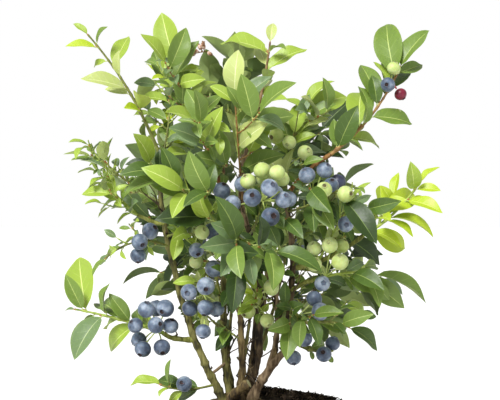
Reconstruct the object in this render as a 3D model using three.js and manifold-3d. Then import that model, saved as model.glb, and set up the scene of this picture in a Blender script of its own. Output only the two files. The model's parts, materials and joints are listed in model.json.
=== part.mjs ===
// A blueberry bush in a plain terracotta pot, as named solids: pot, soil, woody foot, canes, boughs and
// masses of foliage. Units are millimetres, +Z is up, +X is right and +Y is the back of the bush.
// The origin is the middle of the pot's flat underside.
//
// The plan is a few rows of named sizes: every limb is one tapering, bowed curve that starts on its
// parent, and every mass of foliage is grown by one seeded rule from one stem inside its own space.

import * as THREE from 'three';
import { mergeVertices } from 'three/addons/utils/BufferGeometryUtils.js';
import Module from 'manifold-3d';

const wasm = await Module();
wasm.setup();

// ---------------------------------------------------------------- driving dimensions

const CLEAR = 0.3; // gap between pieces that touch on the real plant

const POT = {
  height: 180,
  rimRadius: 120,
  baseRadius: 85,
  wall: 8,
  floor: 10,
  bandHeight: 28,
  bandStep: 5,
  bandDraft: 2,
  edge: 2.5,
  sides: 30,
  holeCount: 3,
  holeRadius: 7,
  holeSides: 12,
  holeRing: 45,
  holeTurn: 0.25, // share of the way to the next hole
};

const SOIL = {
  top: 190.7,
  rimDrop: 3,
  flatReach: 40,
  slopeReach: 100,
  ridgeRise: 13,
  ridgeEndRise: 2,
  ridgeStart: [8, 54],
  ridgeEnd: [84, 46],
  ridgeWidth: 23,
  rimGuard: 8, // the ridge dies away over this, so that it stays inside the rim
  spare: 0.1,
  rings: 10,
};

const FOOT = {
  x: -12,
  y: 5,
  bottom: 191,
  radius: 25,
  height: 14,
  depth: 0.86,
  lobes: 5,
  lobeSize: 0.1,
  lobeTurn: 1,
  sides: 20,
  steps: 4,
};

const CANE_START = 196; // canes start inside the foot and are cut by it
const LIMB = { sides: 6, ringLength: 28, knobs: 0.07, collar: 0.28, collarReach: 9, taper: 1.15 };
const STEM = { radius: 1.3, tip: 0.8, rings: [0, 0.25, 0.5, 0.75, 1] };
const TWIG = { radius: 1.0, tip: 0.7, rings: [0.12, 0.6, 1], lift: 0.14, sag: 0.06, bare: 0.2, clearFrom: 2 };
const STALK = { radius: 0.8, ring: 0.2, last: 0.96, checks: [0.5, 0.75, 1] };

// Nodes along a shoot: where the first one sits, how far each rolls off its turn, where the end leaf roots.
const NODE = { first: 0.35, roll: 25, end: 0.985 };

const LEAF = {
  aspect: 0.49, // width over length
  widthSpread: 0.12,
  thick: 0.9,
  sink: 0.4, // the root of a leaf goes this far into its twig
  petiole: 3,
  skew: 0.9, // below 1 the widest part sits past the middle
  blunt: 0.8,
  fold: 22,
  curl: 42,
  curlLeast: 0.5,
  diverge: 52,
  divergeSpread: 14,
  sizeSpread: 0.16,
  turn: 0.5,
  twigPull: 0.35, // how much the blade looks along its twig as well as to the light
  small: 45, // blades shorter than this have one ring
  rings: [0.38, 0.74],
  smallRings: [0.45],
  tip: 0.999,
  testShares: [0.2, 0.38, 0.56, 0.74, 0.95],
  testSides: [-1, -0.5, 0, 0.5, 1],
  tries: 10,
  tryTurn: 77,
  tryShrink: 0.045,
};

const BERRY = {
  radius: 8.2,
  spread: 0.1,
  squash: 0.92,
  packing: 1.0,
  few: 4, // a cluster of fewer berries than this is open in the middle
  fewStart: 0.9,
  manyStart: 0.15,
  dome: 2.6,
  apart: 0.2,
  push: 1.2,
  seedStep: 500,
};

// A leaf, twig or berry that comes nearer than this to a limb, to another mass or to a berry is skipped.
const SPACE = { limb: 3.2, neighbour: 1.1, berry: 1.6, stalk: 2.6, stalkFoot: 8, leaf: 4.2 };

// ---------------------------------------------------------------- plan of the limbs
// from: the foot or a limb. at: x and y on the foot, or the share of the way along the limb.
// tip: where the limb ends. bow: how far its middle stands off the straight line. thick: radii.

const LIMBS = [
  {
    name: 'cane_left', from: 'foot', at: [-25, -4], tip: [-87, 0, 433],
    bow: [-14, -10, 0], thick: [3.6, 1.8],
  },
  {
    name: 'cane_mid_left', from: 'foot', at: [-18, 6], tip: [-16, 14, 376],
    bow: [-8, 0, 0], thick: [3.3, 2.0],
  },
  {
    name: 'cane_mid', from: 'foot', at: [-9, -8], tip: [-12, -12, 352],
    bow: [2, -2, 0], thick: [3.4, 2.2],
  },
  {
    name: 'cane_mid_right', from: 'foot', at: [-3, 8], tip: [-3, 4, 363],
    bow: [13, 2, 0], thick: [3.6, 2.6],
  },
  {
    name: 'cane_low_right', from: 'foot', at: [1, -5], tip: [43, -14, 254],
    bow: [-2, 0, 6], thick: [4.4, 3.0],
  },
  {
    name: 'cane_right_inner', from: 'cane_low_right', at: 0.56, tip: [16, 10, 328],
    bow: [6, 0, 0], thick: [2.7, 1.9],
  },
  {
    name: 'cane_right_outer', from: 'cane_low_right', at: 0.8, tip: [33, 2, 397],
    bow: [6, 0, 0], thick: [2.9, 2.2],
  },
  {
    name: 'cane_back_left', from: 'foot', at: [-18, 18], tip: [-22, 82, 340],
    bow: [-6, -2, 8], thick: [3.6, 2.2],
  },
  {
    name: 'cane_back_right', from: 'foot', at: [-6, 19], tip: [20, 84, 330],
    bow: [2, -3, 6], thick: [3.6, 2.2],
  },
  {
    name: 'cut_stub', from: 'foot', at: [-18, -10], tip: [-1, -28, 216],
    bow: [-3, -2, 2], thick: [4.2, 4.0],
  },
  {
    name: 'bough_left_low', from: 'cane_left', at: 0.25, tip: [-81, -17, 262],
    bow: [0, -1, -2], thick: [2.5, 2.0],
  },
  {
    name: 'bough_left_mid', from: 'cane_left', at: 0.71, tip: [-106, -12, 373],
    bow: [0, 0, -1], thick: [1.9, 1.5],
  },
  {
    name: 'bough_top_left', from: 'cane_mid_left', at: 1, tip: [-49, -14, 453],
    bow: [0, -8, 2], thick: [2.2, 1.6],
  },
  {
    name: 'bough_top', from: 'cane_mid_right', at: 1, tip: [0, -8, 447],
    bow: [-6, -3, 0], thick: [2.4, 1.7],
  },
  {
    name: 'bough_right_upper', from: 'cane_right_outer', at: 0.95, tip: [76, -14, 430],
    bow: [-2, -2, 4], thick: [2.1, 1.8],
  },
  {
    name: 'bough_right_mid', from: 'cane_right_outer', at: 0.5, tip: [106, -20, 354],
    bow: [2, -2, -4], thick: [2.3, 1.9],
  },
  {
    name: 'bough_right_low', from: 'cane_right_outer', at: 0.36, tip: [60, -16, 312],
    bow: [0, -2, 2], thick: [2.2, 1.8],
  },
  {
    name: 'bough_low_right', from: 'cane_right_outer', at: 0.2, tip: [57, -18, 270],
    bow: [0, -2, 1], thick: [2.0, 1.6],
  },
  {
    name: 'bough_back_top', from: 'cane_back_left', at: 0.9, tip: [-8, 84, 425],
    bow: [4, 6, 0], thick: [2.0, 1.6],
  },
];

// ---------------------------------------------------------------- plan of the masses of foliage
// tip and bow: as for a limb. bare: share of the stem without leaves. pitch: between leaves.
// leaf: blade lengths at the foot and the tip of the stem. end: length of the leaf at the very tip.
// twigs: side twigs, of length twig. turn: degrees between one node and the next, 180 for a flat spray
// and 137.5 for a round one. side: degrees at the first node. face: the way the leaves look.
// fruit: share of the stem, berries in the cluster, middle of the cluster from the stem.

const FLAT = 180;
const ROUND = 137.5;
const FRONT = [0, -1, 0.55];
const BACK = [0, 1, 0.55];
const LEFT = [-0.7, -0.5, 0.6];
const RIGHT = [0.7, -0.5, 0.6];

const MASSES = [
  {
    name: 'foliage_left_top', from: 'cane_left', at: 1, tip: [-153, -10, 543], bow: [5, -2, 3],
    seed: 647, bare: 0.26, pitch: 22, leaf: [46, 31], end: 18, turn: FLAT, side: 345, twigs: 0, twig: 0,
    face: FRONT, fruit: [],
  },
  {
    name: 'foliage_left_crown', from: 'cane_left', at: 0.93, tip: [-78, 26, 504], bow: [4, 4, 0],
    seed: 544, bare: 0.1, pitch: 9, leaf: [26, 40], end: 28, turn: ROUND, side: 355, twigs: 4, twig: 36,
    face: FRONT, fruit: [],
  },
  {
    name: 'foliage_top_left', from: 'bough_top_left', at: 1, tip: [-72, -11, 519], bow: [0, 0, -2],
    seed: 388, bare: 0.05, pitch: 11.5, leaf: [34, 38], end: 48, turn: ROUND, side: 45, twigs: 2, twig: 30,
    face: FRONT, fruit: [],
  },
  {
    name: 'foliage_mid_high', from: 'bough_top_left', at: 0.3, tip: [-33, -64, 461], bow: [4, -6, -4],
    seed: 880, bare: 0.2, pitch: 11.5, leaf: [37, 39], end: 43, turn: ROUND, side: 75, twigs: 3, twig: 34,
    face: FRONT, fruit: [],
  },
  {
    name: 'foliage_top_mid', from: 'bough_top', at: 0.3, tip: [-14, -58, 483], bow: [0, -8, -4],
    seed: 361, bare: 0.25, pitch: 14.5, leaf: [50, 50], end: 42, turn: ROUND, side: 5, twigs: 2, twig: 34,
    face: FRONT, fruit: [],
  },
  {
    name: 'foliage_top', from: 'bough_top', at: 1, tip: [19, -4, 536], bow: [2, 0, 0],
    seed: 483, bare: 0.06, pitch: 17.5, leaf: [38, 44], end: 21, turn: FLAT, side: 165, twigs: 0, twig: 0,
    face: FRONT, fruit: [[0.12, 1, [19, -16, 10]]],
  },
  {
    name: 'foliage_top_right', from: 'cane_right_outer', at: 1, tip: [54, 6, 476], bow: [-4, 6, 0],
    seed: 55, bare: 0.1, pitch: 10, leaf: [46, 49], end: 37, turn: ROUND, side: 35, twigs: 3, twig: 38,
    face: FRONT, fruit: [[0.25, 2, [24, -18, 12]], [0.62, 2, [-13, -16, -6]]],
  },
  {
    name: 'foliage_right_upper', from: 'bough_right_upper', at: 1, tip: [141, -18, 512], bow: [4, 0, -6],
    seed: 852, bare: 0.04, pitch: 14, leaf: [39, 60], end: 48, turn: FLAT, side: 90, twigs: 0, twig: 0,
    face: FRONT, fruit: [[0.84, 3, [4, -12, -3]]],
  },
  {
    name: 'foliage_right_mid', from: 'bough_right_mid', at: 1, tip: [158, -22, 402], bow: [2, 0, -4],
    seed: 218, bare: 0.06, pitch: 12, leaf: [50, 32], end: 25, turn: FLAT, side: 300, twigs: 1, twig: 24,
    face: FRONT, fruit: [],
  },
  {
    name: 'foliage_right', from: 'bough_right_mid', at: 0.35, tip: [96, -30, 384], bow: [0, -8, 4],
    seed: 150, bare: 0.15, pitch: 12, leaf: [44, 37], end: 36, turn: ROUND, side: 120, twigs: 2, twig: 32,
    face: RIGHT, fruit: [[0.72, 2, [8, -12, -2]]],
  },
  {
    name: 'foliage_right_low', from: 'bough_right_low', at: 1, tip: [116, -34, 318], bow: [0, -4, 4],
    seed: 278, bare: 0.06, pitch: 13, leaf: [55, 47], end: 55, turn: ROUND, side: 40, twigs: 2, twig: 34,
    face: FRONT, fruit: [[0.2, 6, [3, -24, 32]], [0.05, 1, [4, -22, -3]]],
  },
  {
    name: 'foliage_low_right', from: 'bough_low_right', at: 1, tip: [92, -22, 268], bow: [0, -2, 4],
    seed: 473, bare: 0.06, pitch: 11, leaf: [36, 38], end: 37, turn: ROUND, side: 40, twigs: 2, twig: 28,
    face: FRONT, fruit: [],
  },
  {
    name: 'foliage_low_fruit', from: 'cane_low_right', at: 1, tip: [78, -24, 246], bow: [0, 0, -4],
    seed: 532, bare: 0.2, pitch: 18, leaf: [21, 19], end: 16, turn: ROUND, side: 120, twigs: 0, twig: 0,
    face: FRONT, fruit: [[0.1, 1, [-6, -14, -12]], [0.3, 1, [-3, -10, 9]], [0.75, 2, [0, -6, 6]]],
  },
  {
    name: 'foliage_centre', from: 'cane_mid_right', at: 0.95, tip: [12, -78, 388], bow: [0, -6, -6],
    seed: 690, bare: 0.22, pitch: 10.5, leaf: [46, 40], end: 29, turn: ROUND, side: 210, twigs: 4, twig: 38,
    face: FRONT, fruit: [[0.96, 13, [10, -16, 27]]],
  },
  {
    name: 'foliage_centre_left', from: 'cane_mid_left', at: 0.93, tip: [-60, -76, 396], bow: [2, -6, -4],
    seed: 651, bare: 0.2, pitch: 11, leaf: [46, 54], end: 45, turn: ROUND, side: 60, twigs: 4, twig: 40,
    face: FRONT, fruit: [[0.5, 2, [4, -18, 23]]],
  },
  {
    name: 'foliage_centre_low', from: 'cane_mid', at: 1, tip: [-12, -97, 348], bow: [0, -6, 10],
    seed: 27, bare: 0.12, pitch: 11.5, leaf: [43, 48], end: 38, turn: ROUND, side: 240, twigs: 4, twig: 38,
    face: FRONT, fruit: [],
  },
  {
    name: 'foliage_centre_right', from: 'cane_right_outer', at: 0.86, tip: [80, -66, 396], bow: [0, -8, -2],
    seed: 862, bare: 0.15, pitch: 11, leaf: [36, 47], end: 34, turn: ROUND, side: 0, twigs: 4, twig: 38,
    face: FRONT, fruit: [[0.5, 3, [6, -20, 30]], [0.9, 3, [11, -10, 7]]],
  },
  {
    name: 'foliage_left_mid', from: 'bough_left_mid', at: 1, tip: [-146, -16, 419], bow: [0, 0, -4],
    seed: 4, bare: 0.04, pitch: 10.5, leaf: [26, 27], end: 24, turn: ROUND, side: 300, twigs: 4, twig: 38,
    face: LEFT, fruit: [],
  },
  {
    name: 'foliage_left_upper', from: 'cane_left', at: 0.8, tip: [-142, -6, 427], bow: [4, 4, -8],
    seed: 242, bare: 0.2, pitch: 11.5, leaf: [29, 26], end: 25, turn: ROUND, side: 135, twigs: 4, twig: 34,
    face: LEFT, fruit: [],
  },
  {
    name: 'foliage_left_inner', from: 'cane_left', at: 0.66, tip: [-48, -36, 352], bow: [2, -4, 4],
    seed: 449, bare: 0.12, pitch: 10, leaf: [24, 33], end: 21, turn: ROUND, side: 95, twigs: 3, twig: 30,
    face: FRONT, fruit: [[0.95, 3, [8, -10, -3]]],
  },
  {
    name: 'foliage_left_drop', from: 'cane_left', at: 0.62, tip: [-132, -54, 334], bow: [0, -4, 10],
    seed: 42, bare: 0.12, pitch: 12, leaf: [20, 23], end: 19, turn: ROUND, side: 300, twigs: 1, twig: 20,
    face: LEFT, fruit: [[0.5, 3, [7, -8, -6]]],
  },
  {
    name: 'foliage_left_low', from: 'bough_left_low', at: 1, tip: [-164, -14, 284], bow: [0, -2, 2],
    seed: 581, bare: 0.05, pitch: 15.5, leaf: [40, 63], end: 10, turn: FLAT, side: 0, twigs: 0, twig: 0,
    face: FRONT, fruit: [[0.14, 5, [-1, -14, 19]], [0.08, 4, [-14, -12, -14]]],
  },
  {
    name: 'foliage_inner_left', from: 'cane_mid_left', at: 0.72, tip: [-43, -24, 282], bow: [-8, -6, 16],
    seed: 767, bare: 0.3, pitch: 14, leaf: [22, 21], end: 17, turn: ROUND, side: 300, twigs: 1, twig: 20,
    face: FRONT,
    fruit: [[0.5, 2, [-2, -12, 12]], [0.66, 2, [-3, -30, -9]], [0.82, 3, [-2, -12, -17]], [1, 1, [0, -18, -20]]],
  },
  {
    name: 'foliage_foot_left', from: 'cane_left', at: 0.07, tip: [-82, -26, 214], bow: [-2, -4, -4],
    seed: 673, bare: 0.15, pitch: 17, leaf: [26, 30], end: 30, turn: FLAT, side: 180, twigs: 0, twig: 0,
    face: FRONT, fruit: [[0.42, 1, [-6, -10, 6]]],
  },
  {
    name: 'foliage_inner_low', from: 'cane_mid_right', at: 0.45, tip: [2, -34, 290], bow: [2, -2, 6],
    seed: 848, bare: 0.2, pitch: 9, leaf: [22, 22], end: 25, turn: ROUND, side: 300, twigs: 2, twig: 22,
    face: FRONT, fruit: [[0.6, 1, [-9, -12, -4]], [0.7, 1, [10, -12, -14]], [0.95, 1, [17, -8, 16]]],
  },
  {
    name: 'foliage_low_mid', from: 'cane_right_inner', at: 0.5, tip: [44, -44, 276], bow: [4, -6, 8],
    seed: 171, bare: 0.2, pitch: 9.5, leaf: [34, 31], end: 34, turn: ROUND, side: 90, twigs: 2, twig: 26,
    face: FRONT, fruit: [[0.9, 2, [20, -10, 14]]],
  },
  {
    name: 'foliage_left_rear', from: 'cane_back_left', at: 0.8, tip: [-98, 53, 369], bow: [0, 2, -4],
    seed: 158, bare: 0.2, pitch: 10, leaf: [39, 40], end: 47, turn: ROUND, side: 0, twigs: 3, twig: 34,
    face: LEFT, fruit: [],
  },
  {
    name: 'foliage_right_rear', from: 'cane_back_right', at: 0.8, tip: [97, 48, 355], bow: [0, 2, -4],
    seed: 6, bare: 0.2, pitch: 11.5, leaf: [34, 42], end: 42, turn: ROUND, side: 165, twigs: 3, twig: 36,
    face: RIGHT, fruit: [],
  },
  {
    name: 'foliage_top_rear', from: 'bough_back_top', at: 0.6, tip: [72, 90, 459], bow: [0, 2, -6],
    seed: 365, bare: 0.2, pitch: 11, leaf: [42, 54], end: 41, turn: ROUND, side: 45, twigs: 3, twig: 36,
    face: RIGHT, fruit: [],
  },
  {
    name: 'foliage_back_left', from: 'cane_back_left', at: 1, tip: [-88, 122, 408], bow: [0, 2, -6],
    seed: 873, bare: 0.05, pitch: 14, leaf: [41, 55], end: 54, turn: ROUND, side: 120, twigs: 3, twig: 42,
    face: BACK, fruit: [[0.4, 4, [-6, 22, -6]]],
  },
  {
    name: 'foliage_back_right', from: 'cane_back_right', at: 1, tip: [94, 118, 400], bow: [0, 2, -6],
    seed: 533, bare: 0.05, pitch: 13.5, leaf: [49, 49], end: 41, turn: ROUND, side: 75, twigs: 3, twig: 42,
    face: BACK, fruit: [[0.45, 4, [6, 22, -8]]],
  },
  {
    name: 'foliage_back_top', from: 'bough_back_top', at: 1, tip: [-15, 93, 517], bow: [0, 4, 0],
    seed: 27, bare: 0.05, pitch: 13, leaf: [47, 50], end: 40, turn: ROUND, side: 285, twigs: 3, twig: 38,
    face: BACK, fruit: [],
  },
  {
    name: 'foliage_back_mid', from: 'cane_back_right', at: 0.88, tip: [6, 150, 376], bow: [-4, 2, -4],
    seed: 341, bare: 0.15, pitch: 13.5, leaf: [46, 50], end: 43, turn: ROUND, side: 105, twigs: 3, twig: 38,
    face: BACK, fruit: [[0.7, 3, [0, 18, -10]]],
  },
  {
    name: 'foliage_back_low_left', from: 'cane_back_left', at: 0.6, tip: [-58, 123, 323], bow: [0, 4, 4],
    seed: 255, bare: 0.15, pitch: 14, leaf: [42, 42], end: 34, turn: ROUND, side: 240, twigs: 3, twig: 36,
    face: BACK, fruit: [],
  },
  {
    name: 'foliage_back_low_right', from: 'cane_back_right', at: 0.6, tip: [88, 112, 290], bow: [0, 4, 4],
    seed: 319, bare: 0.15, pitch: 14.5, leaf: [36, 39], end: 37, turn: ROUND, side: 345, twigs: 3, twig: 36,
    face: BACK, fruit: [[0.6, 3, [0, 12, -16]]],
  },
];

// ---------------------------------------------------------------- small helpers

const vec = (list) => new THREE.Vector3(list[0], list[1], list[2]);
const radians = THREE.MathUtils.degToRad;
const UP = new THREE.Vector3(0, 0, 1);

// A seeded stream of numbers from 0 to 1, by a linear congruence of 32 bits.
const STREAM = { seedStep: 7919, multiplier: 1664525, increment: 1013904223, range: 2 ** 32 };

function makeRandom(seed) {
  let state = seed * STREAM.seedStep;
  return () => {
    state = (Math.imul(state, STREAM.multiplier) + STREAM.increment) >>> 0;
    return state / STREAM.range;
  };
}

const spread = (random, amount) => (2 * random() - 1) * amount;

// A closed solid from rings of points; a ring of one point closes the end in a tip.
function loft(rings) {
  const points = rings.flat();
  const faces = [];
  const starts = [];
  let count = 0;
  for (const ring of rings) {
    starts.push(count);
    count += ring.length;
  }
  for (let k = 0; k + 1 < rings.length; k += 1) {
    const [low, high] = [rings[k], rings[k + 1]];
    const sides = Math.max(low.length, high.length);
    for (let i = 0; i < sides; i += 1) {
      const j = (i + 1) % sides;
      const a = starts[k] + (i % low.length);
      const b = starts[k] + (j % low.length);
      const c = starts[k + 1] + (j % high.length);
      const d = starts[k + 1] + (i % high.length);
      if (low.length > 1) faces.push(a, b, c);
      if (high.length > 1) faces.push(a, c, d);
    }
  }
  const closeEnd = (start, size, flip) => {
    for (let i = 1; i + 1 < size; i += 1) {
      faces.push(start, start + (flip ? i + 1 : i), start + (flip ? i : i + 1));
    }
  };
  closeEnd(starts[0], rings[0].length, true);
  closeEnd(starts[rings.length - 1], rings[rings.length - 1].length, false);
  const geometry = new THREE.BufferGeometry().setFromPoints(points);
  geometry.setIndex(faces);
  return geometry;
}

function toSolid(geometry) {
  const bare = geometry.clone();
  bare.deleteAttribute('normal');
  bare.deleteAttribute('uv');
  const merged = mergeVertices(bare);
  const solid = new wasm.Manifold(
    new wasm.Mesh({
      numProp: 3,
      vertProperties: new Float32Array(merged.attributes.position.array),
      triVerts: new Uint32Array(merged.index.array),
    }),
  );
  if (solid.volume() < 0) throw new Error('a shape has its faces pointing in');
  return solid;
}

// The one body that counts: scraps and sealed hollows are left out.
function mainBody(solid) {
  const bodies = solid.decompose();
  return bodies.reduce((best, next) => (next.volume() > best.volume() ? next : best));
}

function toGeometry(solid) {
  const mesh = solid.getMesh();
  const geometry = new THREE.BufferGeometry();
  geometry.setAttribute('position', new THREE.BufferAttribute(mesh.vertProperties, 3));
  geometry.setIndex(new THREE.BufferAttribute(mesh.triVerts, 1));
  return geometry;
}

// A bowed line from start to tip whose middle stands off the straight line by bow.
function bowedCurve(start, tip, bow) {
  const middle = start.clone().add(tip).multiplyScalar(0.5);
  const control = middle.addScaledVector(vec(bow), 2);
  return new THREE.QuadraticBezierCurve3(start, control, tip);
}

const TINY = 1e-6;

// Two directions square to a line, the first as near as can be to a wanted one.
function squareTo(along, wanted) {
  const first = wanted.clone().addScaledVector(along, -wanted.dot(along));
  if (first.length() < TINY) first.set(along.z, along.x, along.y);
  first.normalize();
  return [first, new THREE.Vector3().crossVectors(along, first)];
}

// ---------------------------------------------------------------- pot, soil and foot

function lathe(profile, sides) {
  const points = profile.map(([radius, height]) => new THREE.Vector2(radius, height));
  return new THREE.LatheGeometry(points, sides).rotateX(Math.PI / 2);
}

function potInside(height) {
  const share = (height - POT.floor) / (POT.height - POT.floor);
  const low = POT.baseRadius - POT.wall;
  return low + share * (POT.rimRadius - POT.wall - low);
}

function makePot() {
  const { height, rimRadius, baseRadius, bandHeight, bandStep, bandDraft, edge, floor } = POT;
  const bandFoot = height - bandHeight;
  const bandOut = rimRadius - bandDraft;
  const body = lathe(
    [
      [0, 0],
      [baseRadius - edge, 0],
      [baseRadius, edge],
      [bandOut - bandStep, bandFoot - edge],
      [bandOut, bandFoot],
      [rimRadius, height - edge],
      [rimRadius - edge, height],
      [potInside(height), height],
      [potInside(floor), floor],
      [0, floor],
    ],
    POT.sides,
  );
  let solid = toSolid(body);
  const { holeCount, holeRadius, holeSides, holeRing, holeTurn } = POT;
  for (let k = 0; k < holeCount; k += 1) {
    const angle = (2 * Math.PI * (k + holeTurn)) / holeCount;
    const hole = new THREE.CylinderGeometry(holeRadius, holeRadius, 3 * floor, holeSides);
    hole.rotateX(Math.PI / 2);
    hole.translate(holeRing * Math.cos(angle), holeRing * Math.sin(angle), floor / 2);
    solid = solid.subtract(toSolid(hole));
  }
  return solid;
}

const smooth = (low, high, value) => THREE.MathUtils.smoothstep(value, low, high);

// Height of the soil: flat under the foot, sloping to the rim, with a heaped ridge behind that sinks to
// the right.
function soilHeight(x, y) {
  const edgeLevel = POT.height - SOIL.rimDrop;
  const reach = Math.hypot(x, y);
  const slope = 1 - smooth(SOIL.flatReach, SOIL.slopeReach, reach);
  const [ax, ay] = SOIL.ridgeStart;
  const [bx, by] = SOIL.ridgeEnd;
  const share = ((x - ax) * (bx - ax) + (y - ay) * (by - ay)) / ((bx - ax) ** 2 + (by - ay) ** 2);
  const near = THREE.MathUtils.clamp(share, 0, 1);
  const away = Math.hypot(x - ax - near * (bx - ax), y - ay - near * (by - ay));
  const inside = 1 - smooth(SOIL.slopeReach, SOIL.slopeReach + SOIL.rimGuard, reach);
  const ridge = inside * (1 - smooth(0, SOIL.ridgeWidth, away));
  const rise = SOIL.ridgeRise + (SOIL.ridgeEndRise - SOIL.ridgeRise) * near;
  return edgeLevel + (SOIL.top - edgeLevel) * Math.max(slope, ridge) + rise * ridge;
}

function makeSoil() {
  const bottom = POT.floor + CLEAR;
  const edgeLevel = POT.height - SOIL.rimDrop;
  const inset = CLEAR / Math.cos(Math.PI / POT.sides) + SOIL.spare;
  const rim = potInside(edgeLevel) - inset;
  const profile = [
    [0, bottom],
    [potInside(bottom) - inset, bottom],
    [rim, edgeLevel],
  ];
  for (let k = SOIL.rings - 1; k > 0; k -= 1) profile.push([(rim * k) / SOIL.rings, SOIL.top]);
  profile.push([0, SOIL.top]);
  const geometry = lathe(profile, POT.sides);
  const place = geometry.attributes.position;
  for (let i = 0; i < place.count; i += 1) {
    if (place.getZ(i) > edgeLevel + 1) place.setZ(i, soilHeight(place.getX(i), place.getY(i)));
  }
  return toSolid(geometry);
}

// The woody foot: a lobed dome with a flat cut where it stands on the soil.
function makeFoot(grow) {
  const { x, y, bottom, radius, height, depth, lobes, lobeSize, lobeTurn, sides, steps } = FOOT;
  const profile = [[0, bottom - grow]];
  for (let k = 0; k <= steps; k += 1) {
    const angle = (Math.PI / 2) * (k / steps);
    const level = k === 0 ? bottom - grow : bottom + Math.sin(angle) * (height + grow);
    profile.push([Math.cos(angle) * (radius + grow), level]);
  }
  const geometry = lathe(profile, sides);
  const place = geometry.attributes.position;
  for (let i = 0; i < place.count; i += 1) {
    const turn = Math.atan2(place.getY(i), place.getX(i));
    const lobe = 1 + lobeSize * Math.cos(lobes * turn + lobeTurn);
    place.setXY(i, x + place.getX(i) * lobe, y + place.getY(i) * lobe * depth);
  }
  return toSolid(geometry);
}

// ---------------------------------------------------------------- limbs

function limbRadius(limb, share) {
  const [thick, thin] = limb.thick;
  const collar = LIMB.collar * thick * Math.exp((-share * limb.length) / LIMB.collarReach);
  return thick + (thin - thick) * share ** LIMB.taper + (limb.from === 'foot' ? collar : 0);
}

// A closed tube along a curve: a cylinder's vertices are carried onto the curve, square to it.
function tube(curve, radiusAt, sides, steps, startGrow = 0, endGrow = 0) {
  const geometry = new THREE.CylinderGeometry(1, 1, 1, sides, steps);
  geometry.deleteAttribute('normal');
  geometry.deleteAttribute('uv');
  const frames = curve.computeFrenetFrames(steps);
  const place = geometry.attributes.position;
  for (let i = 0; i < place.count; i += 1) {
    const share = place.getY(i) + 0.5;
    const ring = Math.round(share * steps);
    const along = curve.getTangent(share);
    const centre = curve.getPoint(share);
    if (ring === 0) centre.addScaledVector(along, -startGrow);
    if (ring === steps) centre.addScaledVector(along, endGrow);
    const [first, second] = squareTo(along, frames.normals[ring]);
    const radius = radiusAt(share);
    centre.addScaledVector(first, place.getZ(i) * radius).addScaledVector(second, place.getX(i) * radius);
    place.setXYZ(i, centre.x, centre.y, centre.z);
  }
  return geometry;
}

function limbSolid(limb, grow) {
  const steps = Math.max(3, Math.round(limb.length / LIMB.ringLength));
  const random = makeRandom(limb.index + 1);
  const knobs = Array.from({ length: steps + 1 }, () => 1 + spread(random, LIMB.knobs));
  const swell = grow / Math.cos(Math.PI / LIMB.sides);
  const radiusAt = (share) => limbRadius(limb, share) * knobs[Math.round(share * steps)] + swell;
  return toSolid(tube(limb.curve, radiusAt, LIMB.sides, steps, grow, grow));
}

function plotLimbs() {
  const limbs = new Map();
  LIMBS.forEach((row, index) => {
    const start = row.from === 'foot'
      ? new THREE.Vector3(row.at[0], row.at[1], CANE_START)
      : limbs.get(row.from).curve.getPoint(row.at);
    const curve = bowedCurve(start, vec(row.tip), row.bow);
    limbs.set(row.name, { ...row, index, curve, length: start.distanceTo(vec(row.tip)) });
  });
  return limbs;
}

// ---------------------------------------------------------------- space kept by each mass

const TRACE = 10;

function tracePath(curve) {
  return Array.from({ length: TRACE + 1 }, (_, k) => curve.getPoint(k / TRACE));
}

const shift = new THREE.Vector3();
const offset = new THREE.Vector3();

// Nearest distance from a point to a traced path, less its radius there.
function distanceTo(point, path, radiusAt) {
  let best = Infinity;
  for (let k = 0; k + 1 < path.length; k += 1) {
    shift.subVectors(path[k + 1], path[k]);
    offset.subVectors(point, path[k]);
    const share = THREE.MathUtils.clamp(offset.dot(shift) / shift.lengthSq(), 0, 1);
    const gap = offset.addScaledVector(shift, -share).length() - radiusAt((k + share) / (path.length - 1));
    best = Math.min(best, gap);
  }
  return best;
}

const noRadius = () => 0;

// A point on the straight facets between a shoot's rings, where leaves and stalks take root.
function onFacets(curve, shares, share) {
  const k = shares.findIndex((next) => next >= share);
  const [low, high] = [k > 0 ? shares[k - 1] : 0, shares[k]];
  return curve.getPoint(low).lerp(curve.getPoint(high), (share - low) / (high - low));
}

function isFree(points, mass, world) {
  return points.every((point) => {
    const nearLimb = world.limbs.some(
      (limb) => distanceTo(point, limb.path, (share) => limbRadius(limb, share)) < SPACE.limb,
    );
    const nearFoot = Math.hypot(point.x - FOOT.x, point.y - FOOT.y) < FOOT.radius + SPACE.limb
      && point.z < FOOT.bottom + FOOT.height + SPACE.limb;
    const nearSoil = Math.hypot(point.x, point.y) < POT.rimRadius + SPACE.limb
      && point.z < SOIL.top + SPACE.limb;
    if (nearLimb || nearFoot || nearSoil) return false;
    const own = distanceTo(point, mass.path, noRadius);
    return world.masses.every(
      (other) => other === mass || distanceTo(point, other.path, noRadius) - own > 2 * SPACE.neighbour,
    );
  });
}

function clearOfBerries(points, berries) {
  return berries.every(({ centre, radius, foot }) => {
    const stalk = [foot, centre];
    return points.every((point) => point.distanceTo(centre) > radius + SPACE.berry
      && (point.distanceTo(foot) < SPACE.stalkFoot || distanceTo(point, stalk, noRadius) > SPACE.stalk));
  });
}

// ---------------------------------------------------------------- leaves, twigs and berries

const leafOutline = (share) => Math.sin(Math.PI * share ** LEAF.skew) ** LEAF.blunt;

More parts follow.
